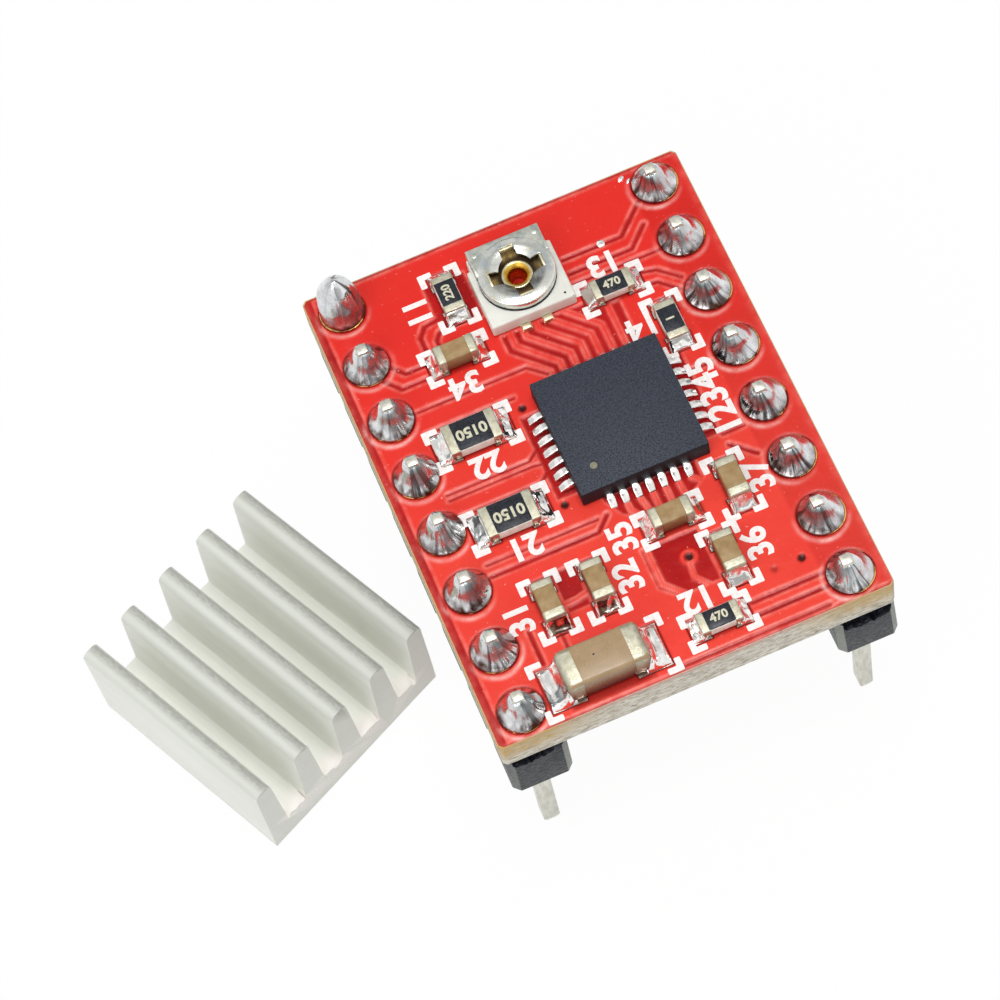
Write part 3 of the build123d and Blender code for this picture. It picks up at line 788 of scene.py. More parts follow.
@dataclass
class Studio:
    """Camera, pale floor, soft lamps and a white room."""

    camera_at: Triple = (-13.468, -62.1735, 133.0524)
    camera_turn: Triple = (26.00054, 6.57944, -22.07735)
    lens: float = 136.691
    aim: Triple = (-3.0, 0.0, 8.0)
    floor_side: float = 3000.0
    floor_glow: float = 0.965
    room_level: float = 0.50
    dark_patches: tuple[DarkPatch, ...] = (
        DarkPatch((0.09, 0.42, 0.90), 12.0, 30.0, 0.60),
        DarkPatch((0.10, 0.96, 0.22), 8.0, 25.0, 0.20),
        DarkPatch((0.05, -0.90, 0.22), 8.0, 26.0, 0.45),
        DarkPatch((-0.09, -0.42, 0.90), 3.0, 12.0, 0.30),
        DarkPatch((-0.85, 0.30, 0.35), 8.0, 24.0, 0.72),
        DarkPatch((0.62, 0.66, 0.42), 8.0, 26.0, 0.60),
    )
    lamps: tuple[Lamp, ...] = (
        Lamp("key_lamp", (4.0, -6.0, 240.0), 80.0, 0.25),
        Lamp("fill_lamp", (-130.0, -100.0, 170.0), 150.0, 0.14),
    )

    def camera(self) -> None:
        """Sets the camera."""
        data = bpy.data.cameras.new("camera")
        data.lens, data.sensor_width, data.clip_start, data.clip_end = self.lens, 36.0, 0.005, 20.0
        eye = linked("camera", data)
        eye.location = Vector(self.camera_at) * MM
        eye.rotation_euler = Euler([radians(angle) for angle in self.camera_turn])
        bpy.context.scene.camera = eye

    def background_rays(self, tree: bpy.types.NodeTree) -> Socket:
        """Returns one for rays that see the background: camera, glossy and transmission."""
        rays = add_node(tree, "LightPath").outputs
        seen = rays["Is Camera Ray"]
        for name in ("Is Glossy Ray", "Is Transmission Ray"):
            seen = add_node(tree, "Math", {"operation": "MAXIMUM"}, {0: seen, 1: rays[name]}).outputs[0]
        return seen

    def floor(self) -> None:
        """Makes the bench top, which is white to the eye and keeps a faint shadow."""
        shape = bmesh.new()
        bmesh.ops.create_grid(shape, x_segments=1, y_segments=1, size=self.floor_side / 2)
        mesh = to_mesh(placed(shape, Matrix.Scale(MM, 4)), "bench_top")
        made = bpy.data.materials.new("bench_paper_white")
        made.use_nodes = True
        tree = made.node_tree
        tree.nodes.clear()
        paper = add_node(tree, "BsdfDiffuse", {"Color": linear("#F4F4F4")}).outputs[0]
        glow = add_node(tree, "Emission", {"Color": (1, 1, 1, 1), "Strength": 1.0}).outputs[0]
        dimmed = {"operation": "MULTIPLY", 1: self.floor_glow}
        share = add_node(tree, "Math", dimmed, {0: self.background_rays(tree)}).outputs[0]
        mix = add_node(tree, "MixShader", {}, {0: share, 1: paper, 2: glow})
        add_node(tree, "OutputMaterial", {}, {"Surface": mix.outputs[0]})
        mesh.materials.append(made)
        floor = linked("bench_top", mesh)

    def light(self) -> None:
        """Adds the lamps, which look at the board."""
        for lamp in self.lamps:
            data = bpy.data.lights.new(lamp.name, "AREA")
            data.shape, data.size, data.energy = "SQUARE", lamp.side * MM, lamp.power
            carrier = linked(lamp.name, data)
            carrier.location = Vector(lamp.place) * MM
            carrier.rotation_euler = (Vector(self.aim) - Vector(lamp.place)).to_track_quat("-Z", "Y").to_euler()

    def room(self) -> None:
        """Sets the world: white to the eye, even light, and a room with darker parts for metal to show."""
        world = bpy.data.worlds.new("white_room")
        bpy.context.scene.world = world
        world.use_nodes = True
        tree = world.node_tree
        tree.nodes.clear()
        way = add_node(tree, "TexCoord").outputs["Generated"]
        tone: Socket | None = None
        for patch in self.dark_patches:
            aimed = {"operation": "DOT_PRODUCT", 1: Vector(patch.way).normalized()}
            facing = add_node(tree, "VectorMath", aimed, {0: way}).outputs["Value"]
            fade = {
                "interpolation_type": "SMOOTHSTEP", "From Min": cos(radians(patch.rim)),
                "From Max": cos(radians(patch.core)), "To Min": 1.0, "To Max": patch.tone,
            }
            shade = add_node(tree, "MapRange", fade, {"Value": facing}).outputs[0]
            if tone is not None:
                shade = add_node(tree, "Math", {"operation": "MULTIPLY"}, {0: tone, 1: shade}).outputs[0]
            tone = shade
        eye = add_node(tree, "LightPath").outputs["Is Camera Ray"]
        colour = add_node(tree, "Math", {"operation": "MAXIMUM"}, {0: tone, 1: eye}).outputs[0]
        seen = add_node(tree, "Background", {"Strength": 1.0}, {"Color": colour}).outputs[0]
        even = add_node(tree, "Background", {"Color": (1, 1, 1, 1), "Strength": self.room_level}).outputs[0]
        mix = add_node(tree, "MixShader", {}, {0: self.background_rays(tree), 1: even, 2: seen})
        add_node(tree, "OutputWorld", {}, {"Surface": mix.outputs[0]})

    def build(self) -> None:
        """Sets up the whole studio."""
        self.camera()
        self.floor()
        self.room()
        self.light()
        bpy.context.scene.view_settings.view_transform = "Standard"


# ---------------------------------------------------------------- solder mask over copper


@dataclass(frozen=True)
class Copper:
    """What copper lies under one face's mask: areas, the bare gaps cut in them, and tracks laid after."""

    areas: tuple[Path, ...]
    bare: tuple[Path, ...] = ()
    gaps: tuple[tuple[float, Path], ...] = ()
    tracks: tuple[tuple[float, Path], ...] = ()

    def to_line(self, x: np.ndarray, y: np.ndarray, path: Path) -> np.ndarray:
        """Returns the distance from each point to a line of several runs."""
        best = np.full(x.shape, 1e9)
        for (ax, ay), (bx, by) in zip(path, path[1:]):
            dx, dy = bx - ax, by - ay
            along = np.clip(((x - ax) * dx + (y - ay) * dy) / (dx * dx + dy * dy), 0, 1)
            best = np.minimum(best, np.hypot(x - ax - along * dx, y - ay - along * dy))
        return best

    def to_area(self, x: np.ndarray, y: np.ndarray, path: Path) -> np.ndarray:
        """Returns how deep each point lies inside a closed outline, negative outside it."""
        closed = path + path[:1]
        inside = np.zeros(x.shape, bool)
        for (ax, ay), (bx, by) in zip(closed, closed[1:]):
            if ay != by:
                inside ^= ((ay > y) != (by > y)) & (x < (bx - ax) * (y - ay) / (by - ay) + ax)
        return np.where(inside, 1, -1) * self.to_line(x, y, closed)

    def depth(self, x: np.ndarray, y: np.ndarray) -> np.ndarray:
        """Returns the signed distance into copper, in millimetres."""
        level = np.full(x.shape, -1.0)
        for path in self.areas:
            level = np.maximum(level, self.to_area(x, y, path))
        for path in self.bare:
            level = np.minimum(level, -self.to_area(x, y, path))
        for width, path in self.gaps:
            level = np.minimum(level, self.to_line(x, y, path) - width / 2)
        for width, path in self.tracks:
            level = np.maximum(level, width / 2 - self.to_line(x, y, path))
        return level


TOP_COPPER = Copper(
    areas=(
        ((-7.27, 9.8), (7.7, 9.8), (7.7, -9.85), (-7.27, -9.85)),
    ),
    bare=(
        ((-3.25, 6.45), (-1.62, 6.45), (-1.62, 8.5), (-3.25, 8.5)),
        ((-1.35, 5.3), (-1.35, 4.55), (-0.1, 3.25), (-0.1, 2.5), (3.2, 2.5), (3.2, 4.85), (2.1, 4.85), (2.1, 5.3)),
        ((-2.0, -1.8), (-1.2, -1.8), (-1.2, 1.85), (-2.0, 1.85)),
        ((3.7, -1.8), (4.4, -1.8), (4.4, 1.85), (3.7, 1.85)),
        ((-0.55, -2.4), (3.1, -2.4), (3.1, -3.2), (2.2, -3.75), (0.6, -3.75), (-0.1, -3.3)),
        ((-0.08, -4.95), (2.1, -4.95), (2.1, -7.15), (0.5, -7.15), (-0.08, -6.6)),
        ((-3.35, -4.4), (-2.5, -4.4), (-2.5, -6.1), (-3.35, -6.1)),
    ),
    gaps=(
        (0.2, ((-5.7, 6.05), (-5.15, 5.42), (-4.3, 5.42))),
        (0.2, ((-6.0, 5.45), (-5.5, 4.86), (-4.4, 4.86))),
        (0.22, ((-4.1, 5.8), (-4.1, 6.55), (-3.8, 6.95), (-3.2, 7.05))),
        (0.2, ((-3.58, 5.9), (-3.58, 6.2), (-3.35, 6.5))),
        (0.16, ((-5.35, 3.72), (-1.0, 3.72), (-0.42, 3.18), (-0.3, 3.1))),
        (0.16, ((-5.4, 2.75), (-1.9, 2.75))),
        (0.14, ((-5.6, 0.1), (-2.35, 0.1), (-1.95, 0.4))),
        (0.14, ((-5.6, -0.14), (-2.3, -0.14), (-2.0, -0.2))),
        (0.16, ((-5.5, -0.92), (-2.3, -0.92), (-1.95, -0.62))),
        (0.2, ((-5.35, -3.62), (-1.15, -3.62), (-0.62, -3.1))),
        (0.14, ((-5.35, -3.12), (-1.0, -3.12))),
        (0.2, ((-4.95, -6.2), (-4.95, -7.55))),
        (0.16, ((-3.9, -6.9), (-3.9, -7.45))),
        (0.2, ((1.95, 7.32), (4.35, 7.32), (5.5, 8.42))),
        (0.2, ((1.95, 6.66), (4.5, 6.66), (5.3, 7.45))),
        (0.18, ((1.95, 6.18), (5.5, 6.18))),
        (0.18, ((4.2, 5.62), (4.95, 5.45), (5.7, 4.75))),
        (0.18, ((4.3, 5.0), (4.8, 4.95), (5.45, 4.3))),
        (0.2, ((2.7, -8.5), (5.5, -8.5))),
        (0.2, ((2.5, -9.05), (5.4, -9.05))),
        (0.2, ((4.5, -2.4), (5.3, -3.15))),
        (0.16, ((-0.45, -9.72), (5.2, -9.72))),
        (0.16, ((4.45, 1.0), (5.3, 1.0))),
        (0.16, ((4.45, -1.9), (5.3, -1.9))),
    ),
    tracks=(
        (0.26, ((0.24, 3.0), (0.24, 3.42), (-1.0, 4.72), (-1.0, 5.3))),
        (0.26, ((0.74, 3.0), (0.74, 3.62), (-0.5, 4.92), (-0.5, 5.3))),
        (0.26, ((1.24, 3.0), (1.24, 3.82), (0.05, 5.06), (0.05, 5.3))),
        (0.26, ((1.74, 3.0), (1.74, 4.02), (0.55, 5.26))),
        (0.26, ((2.24, 3.0), (2.24, 4.2), (1.2, 5.3))),
        (0.26, ((2.74, 3.0), (2.74, 4.9))),
        (0.24, ((0.24, -3.0), (0.24, -3.3), (0.6, -3.8))),
        (0.24, ((0.74, -3.0), (0.9, -3.8))),
        (0.24, ((1.24, -3.0), (1.24, -3.8))),
        (0.24, ((1.74, -3.0), (1.74, -3.8))),
        (0.24, ((2.24, -3.0), (2.3, -3.8))),
        (0.24, ((2.74, -3.0), (3.2, -3.45))),
        (0.24, ((0.12, -4.9), (0.12, -6.5), (0.75, -7.2))),
        (0.22, ((1.42, -5.9), (1.32, -6.25), (1.27, -6.7), (1.65, -7.2))),
        (0.26, ((-3.4, -5.75), (-2.9, -5.72), (-2.4, -5.6))),
    ),
)
BOTTOM_COPPER = Copper(
    areas=(((-7.3, 9.75), (7.3, 9.75), (7.3, -9.75), (-7.3, -9.75)),),
    gaps=tuple((0.2, ((5.3, y + 0.7), (2.9, y + 0.7), (2.2, y))) for y in (-6.3, -3.8, 3.8, 6.3))
    + tuple((0.2, ((-5.3, y - 0.7), (-3.6, y - 0.7), (-2.9, y))) for y in (-6.3, -1.3, 3.8, 6.3)),
    tracks=((0.3, ((-5.8, 8.0), (-3.0, 8.0), (-1.0, 6.0), (-1.0, -6.0), (-3.0, -8.0), (-5.8, -8.0))),),
)


def ramp(values: np.ndarray) -> np.ndarray:
    """Holds values between zero and one."""
    return np.clip(values, 0, 1)


def bell(values: np.ndarray, width: float) -> np.ndarray:
    """Returns one at zero, falling off smoothly either way."""
    return np.exp(-((values / width) ** 2))


@dataclass
class MaskedFace:
    """The mask on one face, risen where copper lies below it, open at lands and pads, and sunk at the vias.

    The flux lies thickest at a different way round the left row's joints and the right's, in degrees. The painted
    shadow under a part reaches further in front of the largest one.
    """

    name: str
    node: str
    copper: Copper
    z_board: float
    up: float
    half_width: float = 7.58
    half_length: float = 9.91
    corner: float = 0.15
    cell: float = 0.066
    step: float = 0.042
    thickness: float = 0.05
    shoulder: float = 0.10
    via: float = 0.18
    via_lip: float = 0.26
    vias: tuple[Pair, ...] = ((-1.77, 2.2), (-1.85, -2.1), (1.4, -5.9), (5.02, -7.65))
    dimple: Pair = (3.97, -7.65)
    pad: float = 0.915
    opening_margin: float = 0.05
    soft_rim: float = 0.06
    # the radius of the painted shade in the eyelet's well
    eyelet: float = 0.42
    strip: float = 5.38
    lead_row: float = 1.75
    flux_ring: float = 1.02
    flux_ways: Pair = (262.0, 235.0)
    painted_shadow_drop: Pair = (0.10, 0.23)

    def residue(self, x: np.ndarray, y: np.ndarray) -> np.ndarray:
        """Returns where pale flux and the lifted mask rim show round the joints."""
        total = np.zeros(x.shape)
        for index, (px, py) in enumerate(HEADER_POINTS):
            away = np.hypot(x - px, y - py)
            thickest = radians(self.flux_ways[px > 0] + 20 * sin(index * 2.3))
            facing = np.cos(np.arctan2(y - py, x - px) - thickest)
            ring = bell(away - (self.flux_ring + 0.06 * facing), 0.07)
            total += ring * np.clip(0.1 + 0.9 * facing, 0.04, 1) * (1.0 + 0.25 * sin(index * 1.7))
        return ramp(total)

    def past(self, x: np.ndarray, y: np.ndarray, spot: Spot, drop: float = 0.0) -> tuple[np.ndarray, np.ndarray]:
        """Returns how far each point is from a part's middle, along and across it."""
        turn, dx, dy = radians(spot.turn), x - spot.x, y - spot.y + drop
        return np.abs(dx * cos(turn) + dy * sin(turn)), np.abs(dy * cos(turn) - dx * sin(turn))

    def open(self, x: np.ndarray, y: np.ndarray) -> np.ndarray:
        """Returns one inside the openings at the chip parts' lands and the header pads, with a soft rim."""
        outside = np.full(x.shape, 1.0)
        for spot, kind in PARTS:
            along, across = self.past(x, y, spot)
            near, far = kind.length / 2 - kind.band, kind.length / 2 + kind.reach
            long = np.abs(along - (near + far) / 2) - (far - near) / 2
            wide = across - kind.width / 2 - LAND_MARGIN
            outside = np.minimum(outside, np.maximum(long, wide) - self.opening_margin)
        for px, py in HEADER_POINTS:
            outside = np.minimum(outside, np.hypot(x - px, y - py) - self.pad)
        return ramp(0.5 - outside / self.soft_rim)

    def shadows(self, x: np.ndarray, y: np.ndarray) -> np.ndarray:
        """Returns painted shadow below the eyelet, beside the chip and along the foot of each chip part."""
        chip_x, chip_y = (x - CHIP_AT[0], y - CHIP_AT[1])
        left = ramp((0.46 + chip_x + CHIP_SIDE / 2) / 0.08) * (chip_x < 0) * (np.abs(chip_y) < self.lead_row)
        front = ramp((0.3 + chip_y + CHIP_SIDE / 2) / 0.2) * (chip_y < 0) * (np.abs(chip_x) < self.lead_row)
        well = self.eyelet - np.hypot(x - TRIMMER_AT[0], y - TRIMMER_AT[1])
        total = np.maximum(np.clip(well / 0.05, 0, 0.55), np.maximum(0.72 * left, 0.45 * front))
        for spot, kind in PARTS:
            along, across = self.past(x, y, spot, self.painted_shadow_drop[kind is LARGE_CAPACITOR])
            away = np.maximum(along - kind.length / 2, across - kind.width / 2)
            total = np.maximum(total, 0.6 * ramp(0.6 - away / 0.12))
        return total

    def surface(self, x: np.ndarray, y: np.ndarray) -> tuple[np.ndarray, dict[str, np.ndarray]]:
        """Works out the sheet.

        Args:
            x: each point's place across the board.
            y: each point's place along it.

        Returns:
            Each point's height, and the values that the mask's finish reads.
        """
        top, none = self.up > 0, np.zeros(x.shape)
        depth = self.copper.depth(x, y)
        over = ramp(0.5 + depth / self.shoulder)
        over = over * over * (3 - 2 * over)
        opened = self.open(x, y) if top else none
        rim = self.residue(x, y) * (1 - opened) if top else none
        pit, lip = none, none
        for vx, vy in self.vias:
            away = np.hypot(x - vx, y - vy)
            pit = np.maximum(pit, ramp((self.via - away) / 0.05))
            lip = np.maximum(lip, ramp(1.6 - np.abs(away - self.via_lip) / 0.07))
        dent = ramp(1.4 - np.hypot(x - self.dimple[0], y - self.dimple[1]) / 0.14)
        over = np.maximum(over, lip)
        rise = self.step * over + 0.02 * rim - 0.03 * dent
        rise = rise * (1 - pit) - pit * (self.thickness - self.step - 0.004)
        rise = rise * (1 - opened) + 0.006 * opened
        border = np.minimum(self.half_width - np.abs(x), self.half_length - np.abs(y))
        values = {
            "copper": over * (1 - 0.30 * ramp((x - self.strip) / 0.12)) if top else over,
            # edge: paler where the mask thins over copper's edges and by the board's border, partly a painted highlight
            # along the ridges
            "edge": np.maximum(bell(depth - 0.04, 0.055) * (1 - opened), 0.42 * bell(border, 0.17)),
            # hole: painted shade in the via holes
            "hole": pit,
            "flux": rim,
            # gap: dark at the openings, painted shade in the via's dent, and painted shadow from shadows()
            "gap": np.maximum(np.maximum(opened, 0.6 * dent), self.shadows(x, y) if top else none),
        }
        return self.z_board - self.up * (self.step - rise), values

    def build(self) -> None:
        """Makes the sheet from a fine grid, raises it over copper and closes it down to the core."""
        shape = bmesh.new()
        columns, rows = (round(2 * half / self.cell) for half in (self.half_width, self.half_length))
        bmesh.ops.create_grid(shape, x_segments=columns, y_segments=rows, size=1.0)
        bmesh.ops.scale(shape, vec=(self.half_width, self.half_length, 1.0), verts=shape.verts)
        place = np.array([vert.co for vert in shape.verts])
        level, values = self.surface(place[:, 0], place[:, 1])
        layers = [(shape.verts.layers.float.new(name), value) for name, value in values.items()]
        for index, vert in enumerate(shape.verts):
            past = abs(vert.co.x) + abs(vert.co.y) - (self.half_width + self.half_length - self.corner)
            if past > 0:
                vert.co.x -= past / 2 * (1 if vert.co.x > 0 else -1)
                vert.co.y -= past / 2 * (1 if vert.co.y > 0 else -1)
            vert.co.z = level[index]
            for layer, value in layers:
                vert[layer] = value[index]
        for vert in grown(shape):
            vert.co.z = self.z_board - self.up * self.thickness
        publish(closed_below(shape), self.name, MASK, replaces=[self.node], sharp=60)


# ---------------------------------------------------------------- printed ink


@dataclass
class Print:
    """White ink on the mask: corner marks round each part, and plain numbers beside them."""

    line: float = 0.235
    arm: float = 0.6
    ink: float = 0.02
    z_low: float = Z_TOP - 0.012
    tall: float = 1.27
    column: tuple[str, float, float, float, float] = ("12345", 4.83, -0.35, 90, 1.36)

    def corner_marks(self, spot: Spot, kind: Kind) -> list[Shape]:
        """Makes the four angle marks round one part."""
        marks = []
        long, wide = kind.frame_long / 2, kind.frame_wide / 2
        arm, line, short = self.arm, self.line, self.arm * 0.9
        angle = [(0, 0), (-arm, 0), (-arm, -line), (-line, -line), (-line, -short), (0, -short)]
        for sx, sy in ((-1, -1), (-1, 1), (1, -1), (1, 1)):
            points = [(sx * (long + px), sy * (wide + py)) for px, py in angle]
            mark = slab(points if sx * sy > 0 else points[::-1], self.z_low, Z_TOP + self.ink)
            rounded(mark, standing(mark, 0.001), 0.04, 2)
            marks.append(placed(mark, at(spot.x, spot.y, 0, spot.turn)))
        return marks

    def words(self, text: str, x: float, y: float, turn: float, tall: float) -> Shape:
        """Makes plain numbers as raised ink, centred on a place."""
        curve = bpy.data.curves.new("number", "FONT")
        curve.body, curve.size = text, tall
        curve.align_x, curve.align_y = "CENTER", "CENTER"
        curve.offset = 0.034 * tall
        curve.extrude = self.ink / 2
        curve.resolution_u = 4
        shape = taken(linked("number", curve))
        bmesh.ops.remove_doubles(shape, verts=shape.verts, dist=1e-4)
        return placed(shape, at(x, y, Z_TOP + self.ink / 2, turn))

    def build(self) -> None:
        """Prints every mark and number."""
        marks: list[Shape] = []
        for index, (spot, kind) in enumerate(PARTS):
            lift = Matrix.Translation((0, 0, 0.0006 * index))  # marks that cross don't lie in one plane
            marks += [placed(mark, lift) for mark in self.corner_marks(spot, kind)]
            if spot.number:
                marks.append(self.words(spot.number, spot.number_x, spot.number_y, spot.number_turn, self.tall))
        marks.append(self.words(*self.column))
        publish(joined(marks), "printed_marks", INK, sharp=40)


# ---------------------------------------------------------------- headers and their joints


@dataclass
class Headers:
    """Two rows of eight pins: insulators, pins, plated pads and the hand-made joints.

    What differs by row is given for the left row and then for the right: how tall its joints are, and the left
    end, right end and depth of the hollow at its snapped end. Profiles go from the foot to the tip.
    """

    spacer_height: float = 2.5
    spacer_width: float = 2.36
    notch: float = 0.36
    end_notch: float = 0.26
    end_trim: float = 0.12
    pin_width: float = 0.64
    tail_width: float = 0.36
    tail_point: float = 0.5
    tip_width: float = 0.40
    tip_point: float = 0.95
    pin_top: float = 11.45
    tail_top: float = 5.0
    lean: float = -0.12
    pad: float = 0.87
    bore: float = 0.5
    plating: float = 0.05
    tall_joint: int = 7
    steps: int = 144
    dents: int = 5
    pleats: int = 9
    tall_pleats: int = 3
    lifts: Pair = (1.07, 0.93)
    snapped: tuple[Triple, Triple] = ((-0.98, 0.62, 0.46), (-0.9, 1.0, 0.86))
    profile: tuple[Pair, ...] = (
        (0.875, 0.0), (0.872, 0.035), (0.85, 0.08), (0.805, 0.13), (0.745, 0.195), (0.68, 0.28), (0.615, 0.385),
        (0.555, 0.50), (0.505, 0.63), (0.46, 0.765), (0.415, 0.89), (0.365, 1.01), (0.305, 1.11), (0.24, 1.16),
        (0.0, 1.17),
    )
    tall_profile: tuple[Pair, ...] = (
        (0.845, 0.0), (0.85, 0.2), (0.845, 0.6), (0.82, 1.0), (0.74, 1.35), (0.62, 1.68), (0.48, 1.95),
        (0.34, 2.17), (0.2, 2.31), (0.08, 2.36), (0.0, 2.365),
    )

    def broken_end(self, side: int) -> Shape:
        """Returns the ragged hollow that snapping the strip left at the top of its front end."""
        dice = random.Random(17 + side)
        left, right, deep = self.snapped[side > 0]
        points, steps = [(left, 0.2)], 16
        for step in range(steps + 1):
            share = step / steps
            bowl = 0.25 + 0.75 * sin(pi * min(1.0, share * 0.85 + 0.15)) ** 0.8
            points.append((left + (right - left) * share, -deep * bowl * dice.uniform(0.55, 1.0)))
        points.append((right, 0.2))
        return placed(slab(points, 0.0, 0.75), Matrix.Rotation(pi / 2, 4, "X"))

    def spacer(self, side: int) -> None:
        """Moulds one row's insulator, notched between the ways and snapped off hollow at its front end."""
        outline: list[Pair] = []
        wide = self.spacer_width / 2
        half = WAYS / 2 * PITCH - self.end_trim
        levels = [-half] + [(way - WAYS / 2) * PITCH for way in range(1, WAYS)] + [half]
        for low, high in zip(levels, levels[1:]):
            start = self.end_notch if low == -half else self.notch
            stop = self.end_notch if high == half else self.notch
            outline += [(wide - start, low), (wide, low + start), (wide, high - stop), (wide - stop, high)]
        outline += [(-x, y) for x, y in reversed(outline)]
        outline = [point for index, point in enumerate(outline) if point != outline[index - 1]]
        shape = slab(outline, Z_BOTTOM - self.spacer_height, Z_BOTTOM)
        rounded(shape, shape.edges, 0.04, 2)
        shape = cut(shape, placed(self.broken_end(side), at(0, -half + 0.6, Z_BOTTOM)))
        # painted highlight: the slanted chamfers at the front end are painted paler, the left row's left one less
        shade = shape.loops.layers.float.new("shade")
        for face in shape.faces:
            slanted = face.normal.y < -0.3 and abs(face.normal.x) > 0.3 and face.calc_center_median().y < 0.4 - half
            for loop in face.loops:
                loop[shade] = (0.35 if side < 0 and face.normal.x < 0 else 0.8) if slanted else 0.0
        if side > 0:
            for vert in shape.verts:
                vert.co.x += self.below(vert.co.z)
        row = "left" if side < 0 else "right"
        publish(
            placed(shape, at(side * ROW_X, 0)), f"insulator_{row}", HEADER_BLACK,
            replaces=[f"header_spacer_{row}"],
        )

    def below(self, z: float) -> float:
        """Returns how far the right row leans outwards at a height below the board."""
        return min(0.2, 0.06 + 0.045 * (Z_BOTTOM - z)) if z < Z_BOTTOM + 0.01 else 0.0

    def pin(self, x: float, y: float) -> Shape:
        """Draws one square pin: a short rounded point below and a long taper into the joint above."""
        half = self.pin_width / 2
        shape = block((-half, -half, 0), (half, half, self.pin_top))
        for level in (self.tail_point, self.tail_top, 5.9, self.pin_top - self.tip_point):
            sliced(shape, (0, 0, level), (0, 0, 1))
        for low, size in ((-0.01, self.tail_width), (self.pin_top - 0.01, self.tip_width)):
            ends = [v for v in shape.verts if low < v.co.z < low + 0.02]
            bmesh.ops.scale(shape, vec=(size / self.pin_width, size / self.pin_width, 1), verts=ends)
        tail = [e for e in shape.edges if all(v.co.z < 0.01 for v in e.verts)]
        rounded(shape, tail, 0.1, 3)
        rounded(shape, [e for e in shape.edges if e.calc_face_angle(0.0) > 0.4], 0.03, 2)
        if x > 0:
            for vert in shape.verts:
                above = max(0.0, vert.co.z - Z_TOP)
                vert.co.x += self.lean * above / (self.pin_top - Z_TOP)
                vert.co.z -= 0.1 * above
                if vert.co.z < self.tail_top:
                    vert.co.x = 0.84 * vert.co.x + self.below(vert.co.z)
        return placed(shape, at(x, y))

    def pad_ring(self, x: float, y: float) -> Shape:
        """Plates one hole: a barrel with a flat pad on each face."""
        bore, pad, plated, sunk = self.bore, self.pad, self.bore + self.plating, 0.05
        below, above = Z_BOTTOM - 0.004, Z_TOP + 0.012
        outline = [
            (bore, below), (pad + 0.02, below), (pad + 0.02, Z_BOTTOM + sunk), (plated, Z_BOTTOM + sunk),
            (plated, Z_TOP - sunk), (pad, Z_TOP - sunk), (pad, Z_TOP), (pad - 0.02, above), (bore, above),
        ]
        return placed(spun(outline, 48, closed=True), at(x + (0.045 if x > 0 else -0.005), y))

    def joint(self, index: int, x: float, y: float) -> Shape:
        """Flows one joint: a hollow cone that drew up the pin, with dents and pleats, each one different."""
        dice = random.Random(71 + index * 13)
        tall = index == self.tall_joint
        profile = self.tall_profile if tall else self.profile
        shape = spun(profile, self.steps)
        bmesh.ops.subdivide_edges(shape, edges=standing(shape, 0.02), cuts=1, use_grid_fill=False)
        top = profile[-1][1]
        lift = 1.0 if tall else self.lifts[x > 0]
        front = -pi / 2
        hollows = [  # dents all round, then the pleats in front: way, width, depth and height
            (dice.uniform(0, 2 * pi), dice.uniform(0.28, 0.55), dice.uniform(0.04, 0.13), dice.uniform(0.15, 0.6))
            for _ in range(self.dents)
        ]
        for _ in range(self.tall_pleats if tall else self.pleats):
            way, width = front + dice.uniform(-1.5, 1.3), dice.uniform(0.05, 0.13)
            hollows.append((way, width, dice.uniform(0.03, 0.10), dice.uniform(0.08, 0.4)))
        lean = Vector((dice.uniform(-0.04, 0.04) + (self.lean if x > 0 else 0.0), dice.uniform(-0.04, 0.04), 0))
        offset = Vector((index * 3.7, index * 1.9, 0))
        flow = shape.verts.layers.float_vector.new("flow")
        foot, skin, pleat = (shape.verts.layers.float.new(name) for name in ("foot", "skin", "pleat"))
        outside = radians(15 if x > 0 else 165)
        for vert in shape.verts:
            radius = sqrt(vert.co.x**2 + vert.co.y**2)
            high = vert.co.z / top
            angle = np.arctan2(vert.co.y, vert.co.x)
            brown = 0.9 - 0.7 * cos(angle - radians(35))
            ragged = 0.25 + 0.26 * noise.noise(Vector((3.0 * cos(angle), 3.0 * sin(angle), index * 2.3)))
            inward = 0.5 - 0.5 * cos(angle - outside)
            calm = clamped((inward - 0.12) / 0.22)
            risen = (0.75 - high) / 0.3 if tall else (high - 0.16) / 0.2
            vert[foot] = clamped((1.3 - vert.co.z / ragged) * brown)
            vert[pleat] = calm
            vert[skin] = 0.9 * clamped(risen) * clamped(1.25 * inward - 0.05)
            vert.co.z *= lift
            if radius > 1e-6:
                spread = 0.4 if tall else 1.0
                vert[flow] = Vector((spread * cos(angle), spread * sin(angle), high * 0.12 + index))
                squeeze = 1 + 0.10 * noise.noise(vert.co * 1.9 + offset) * (0.25 + high)
                for way, width, depth, peak in hollows:
                    gap = (angle - way + pi) % (2 * pi) - pi
                    shown = (0.2 + 0.8 * calm) * depth
                    squeeze -= shown * np.exp(-((gap / width) ** 2)) * np.exp(-(((high - peak) / 0.3) ** 2))
                squeeze = max(0.985, min(squeeze, 1.0)) if high < 0.05 else squeeze
                vert.co.x *= squeeze
                vert.co.y *= squeeze
            vert.co += lean * high**1.5
        bmesh.ops.smooth_vert(shape, verts=shape.verts, factor=0.2, use_axis_x=True, use_axis_y=True)
        return placed(shape, at(x, y, Z_TOP))

    def build(self) -> None:
        """Makes both rows."""
        for side, row in ((-1, "left"), (1, "right")):
            self.spacer(side)
            points = [(index, point) for index, point in enumerate(HEADER_POINTS) if point[0] * side > 0]
            publish(
                joined(self.pin(*point) for _, point in points), f"pins_{row}", PIN_TIN,
                replaces=[f"header_pins_{row}"],
            )
            publish(
                joined(self.joint(i, *point) for i, point in points), f"joints_{row}", HAND_SOLDER,
                replaces=[f"pin_joints_{row}"], sharp=80,
            )
        publish(
            joined(self.pad_ring(*point) for point in HEADER_POINTS), "plated_pads", GOLD,
            replaces=["plated_holes"],
        )


# ---------------------------------------------------------------- driver chip


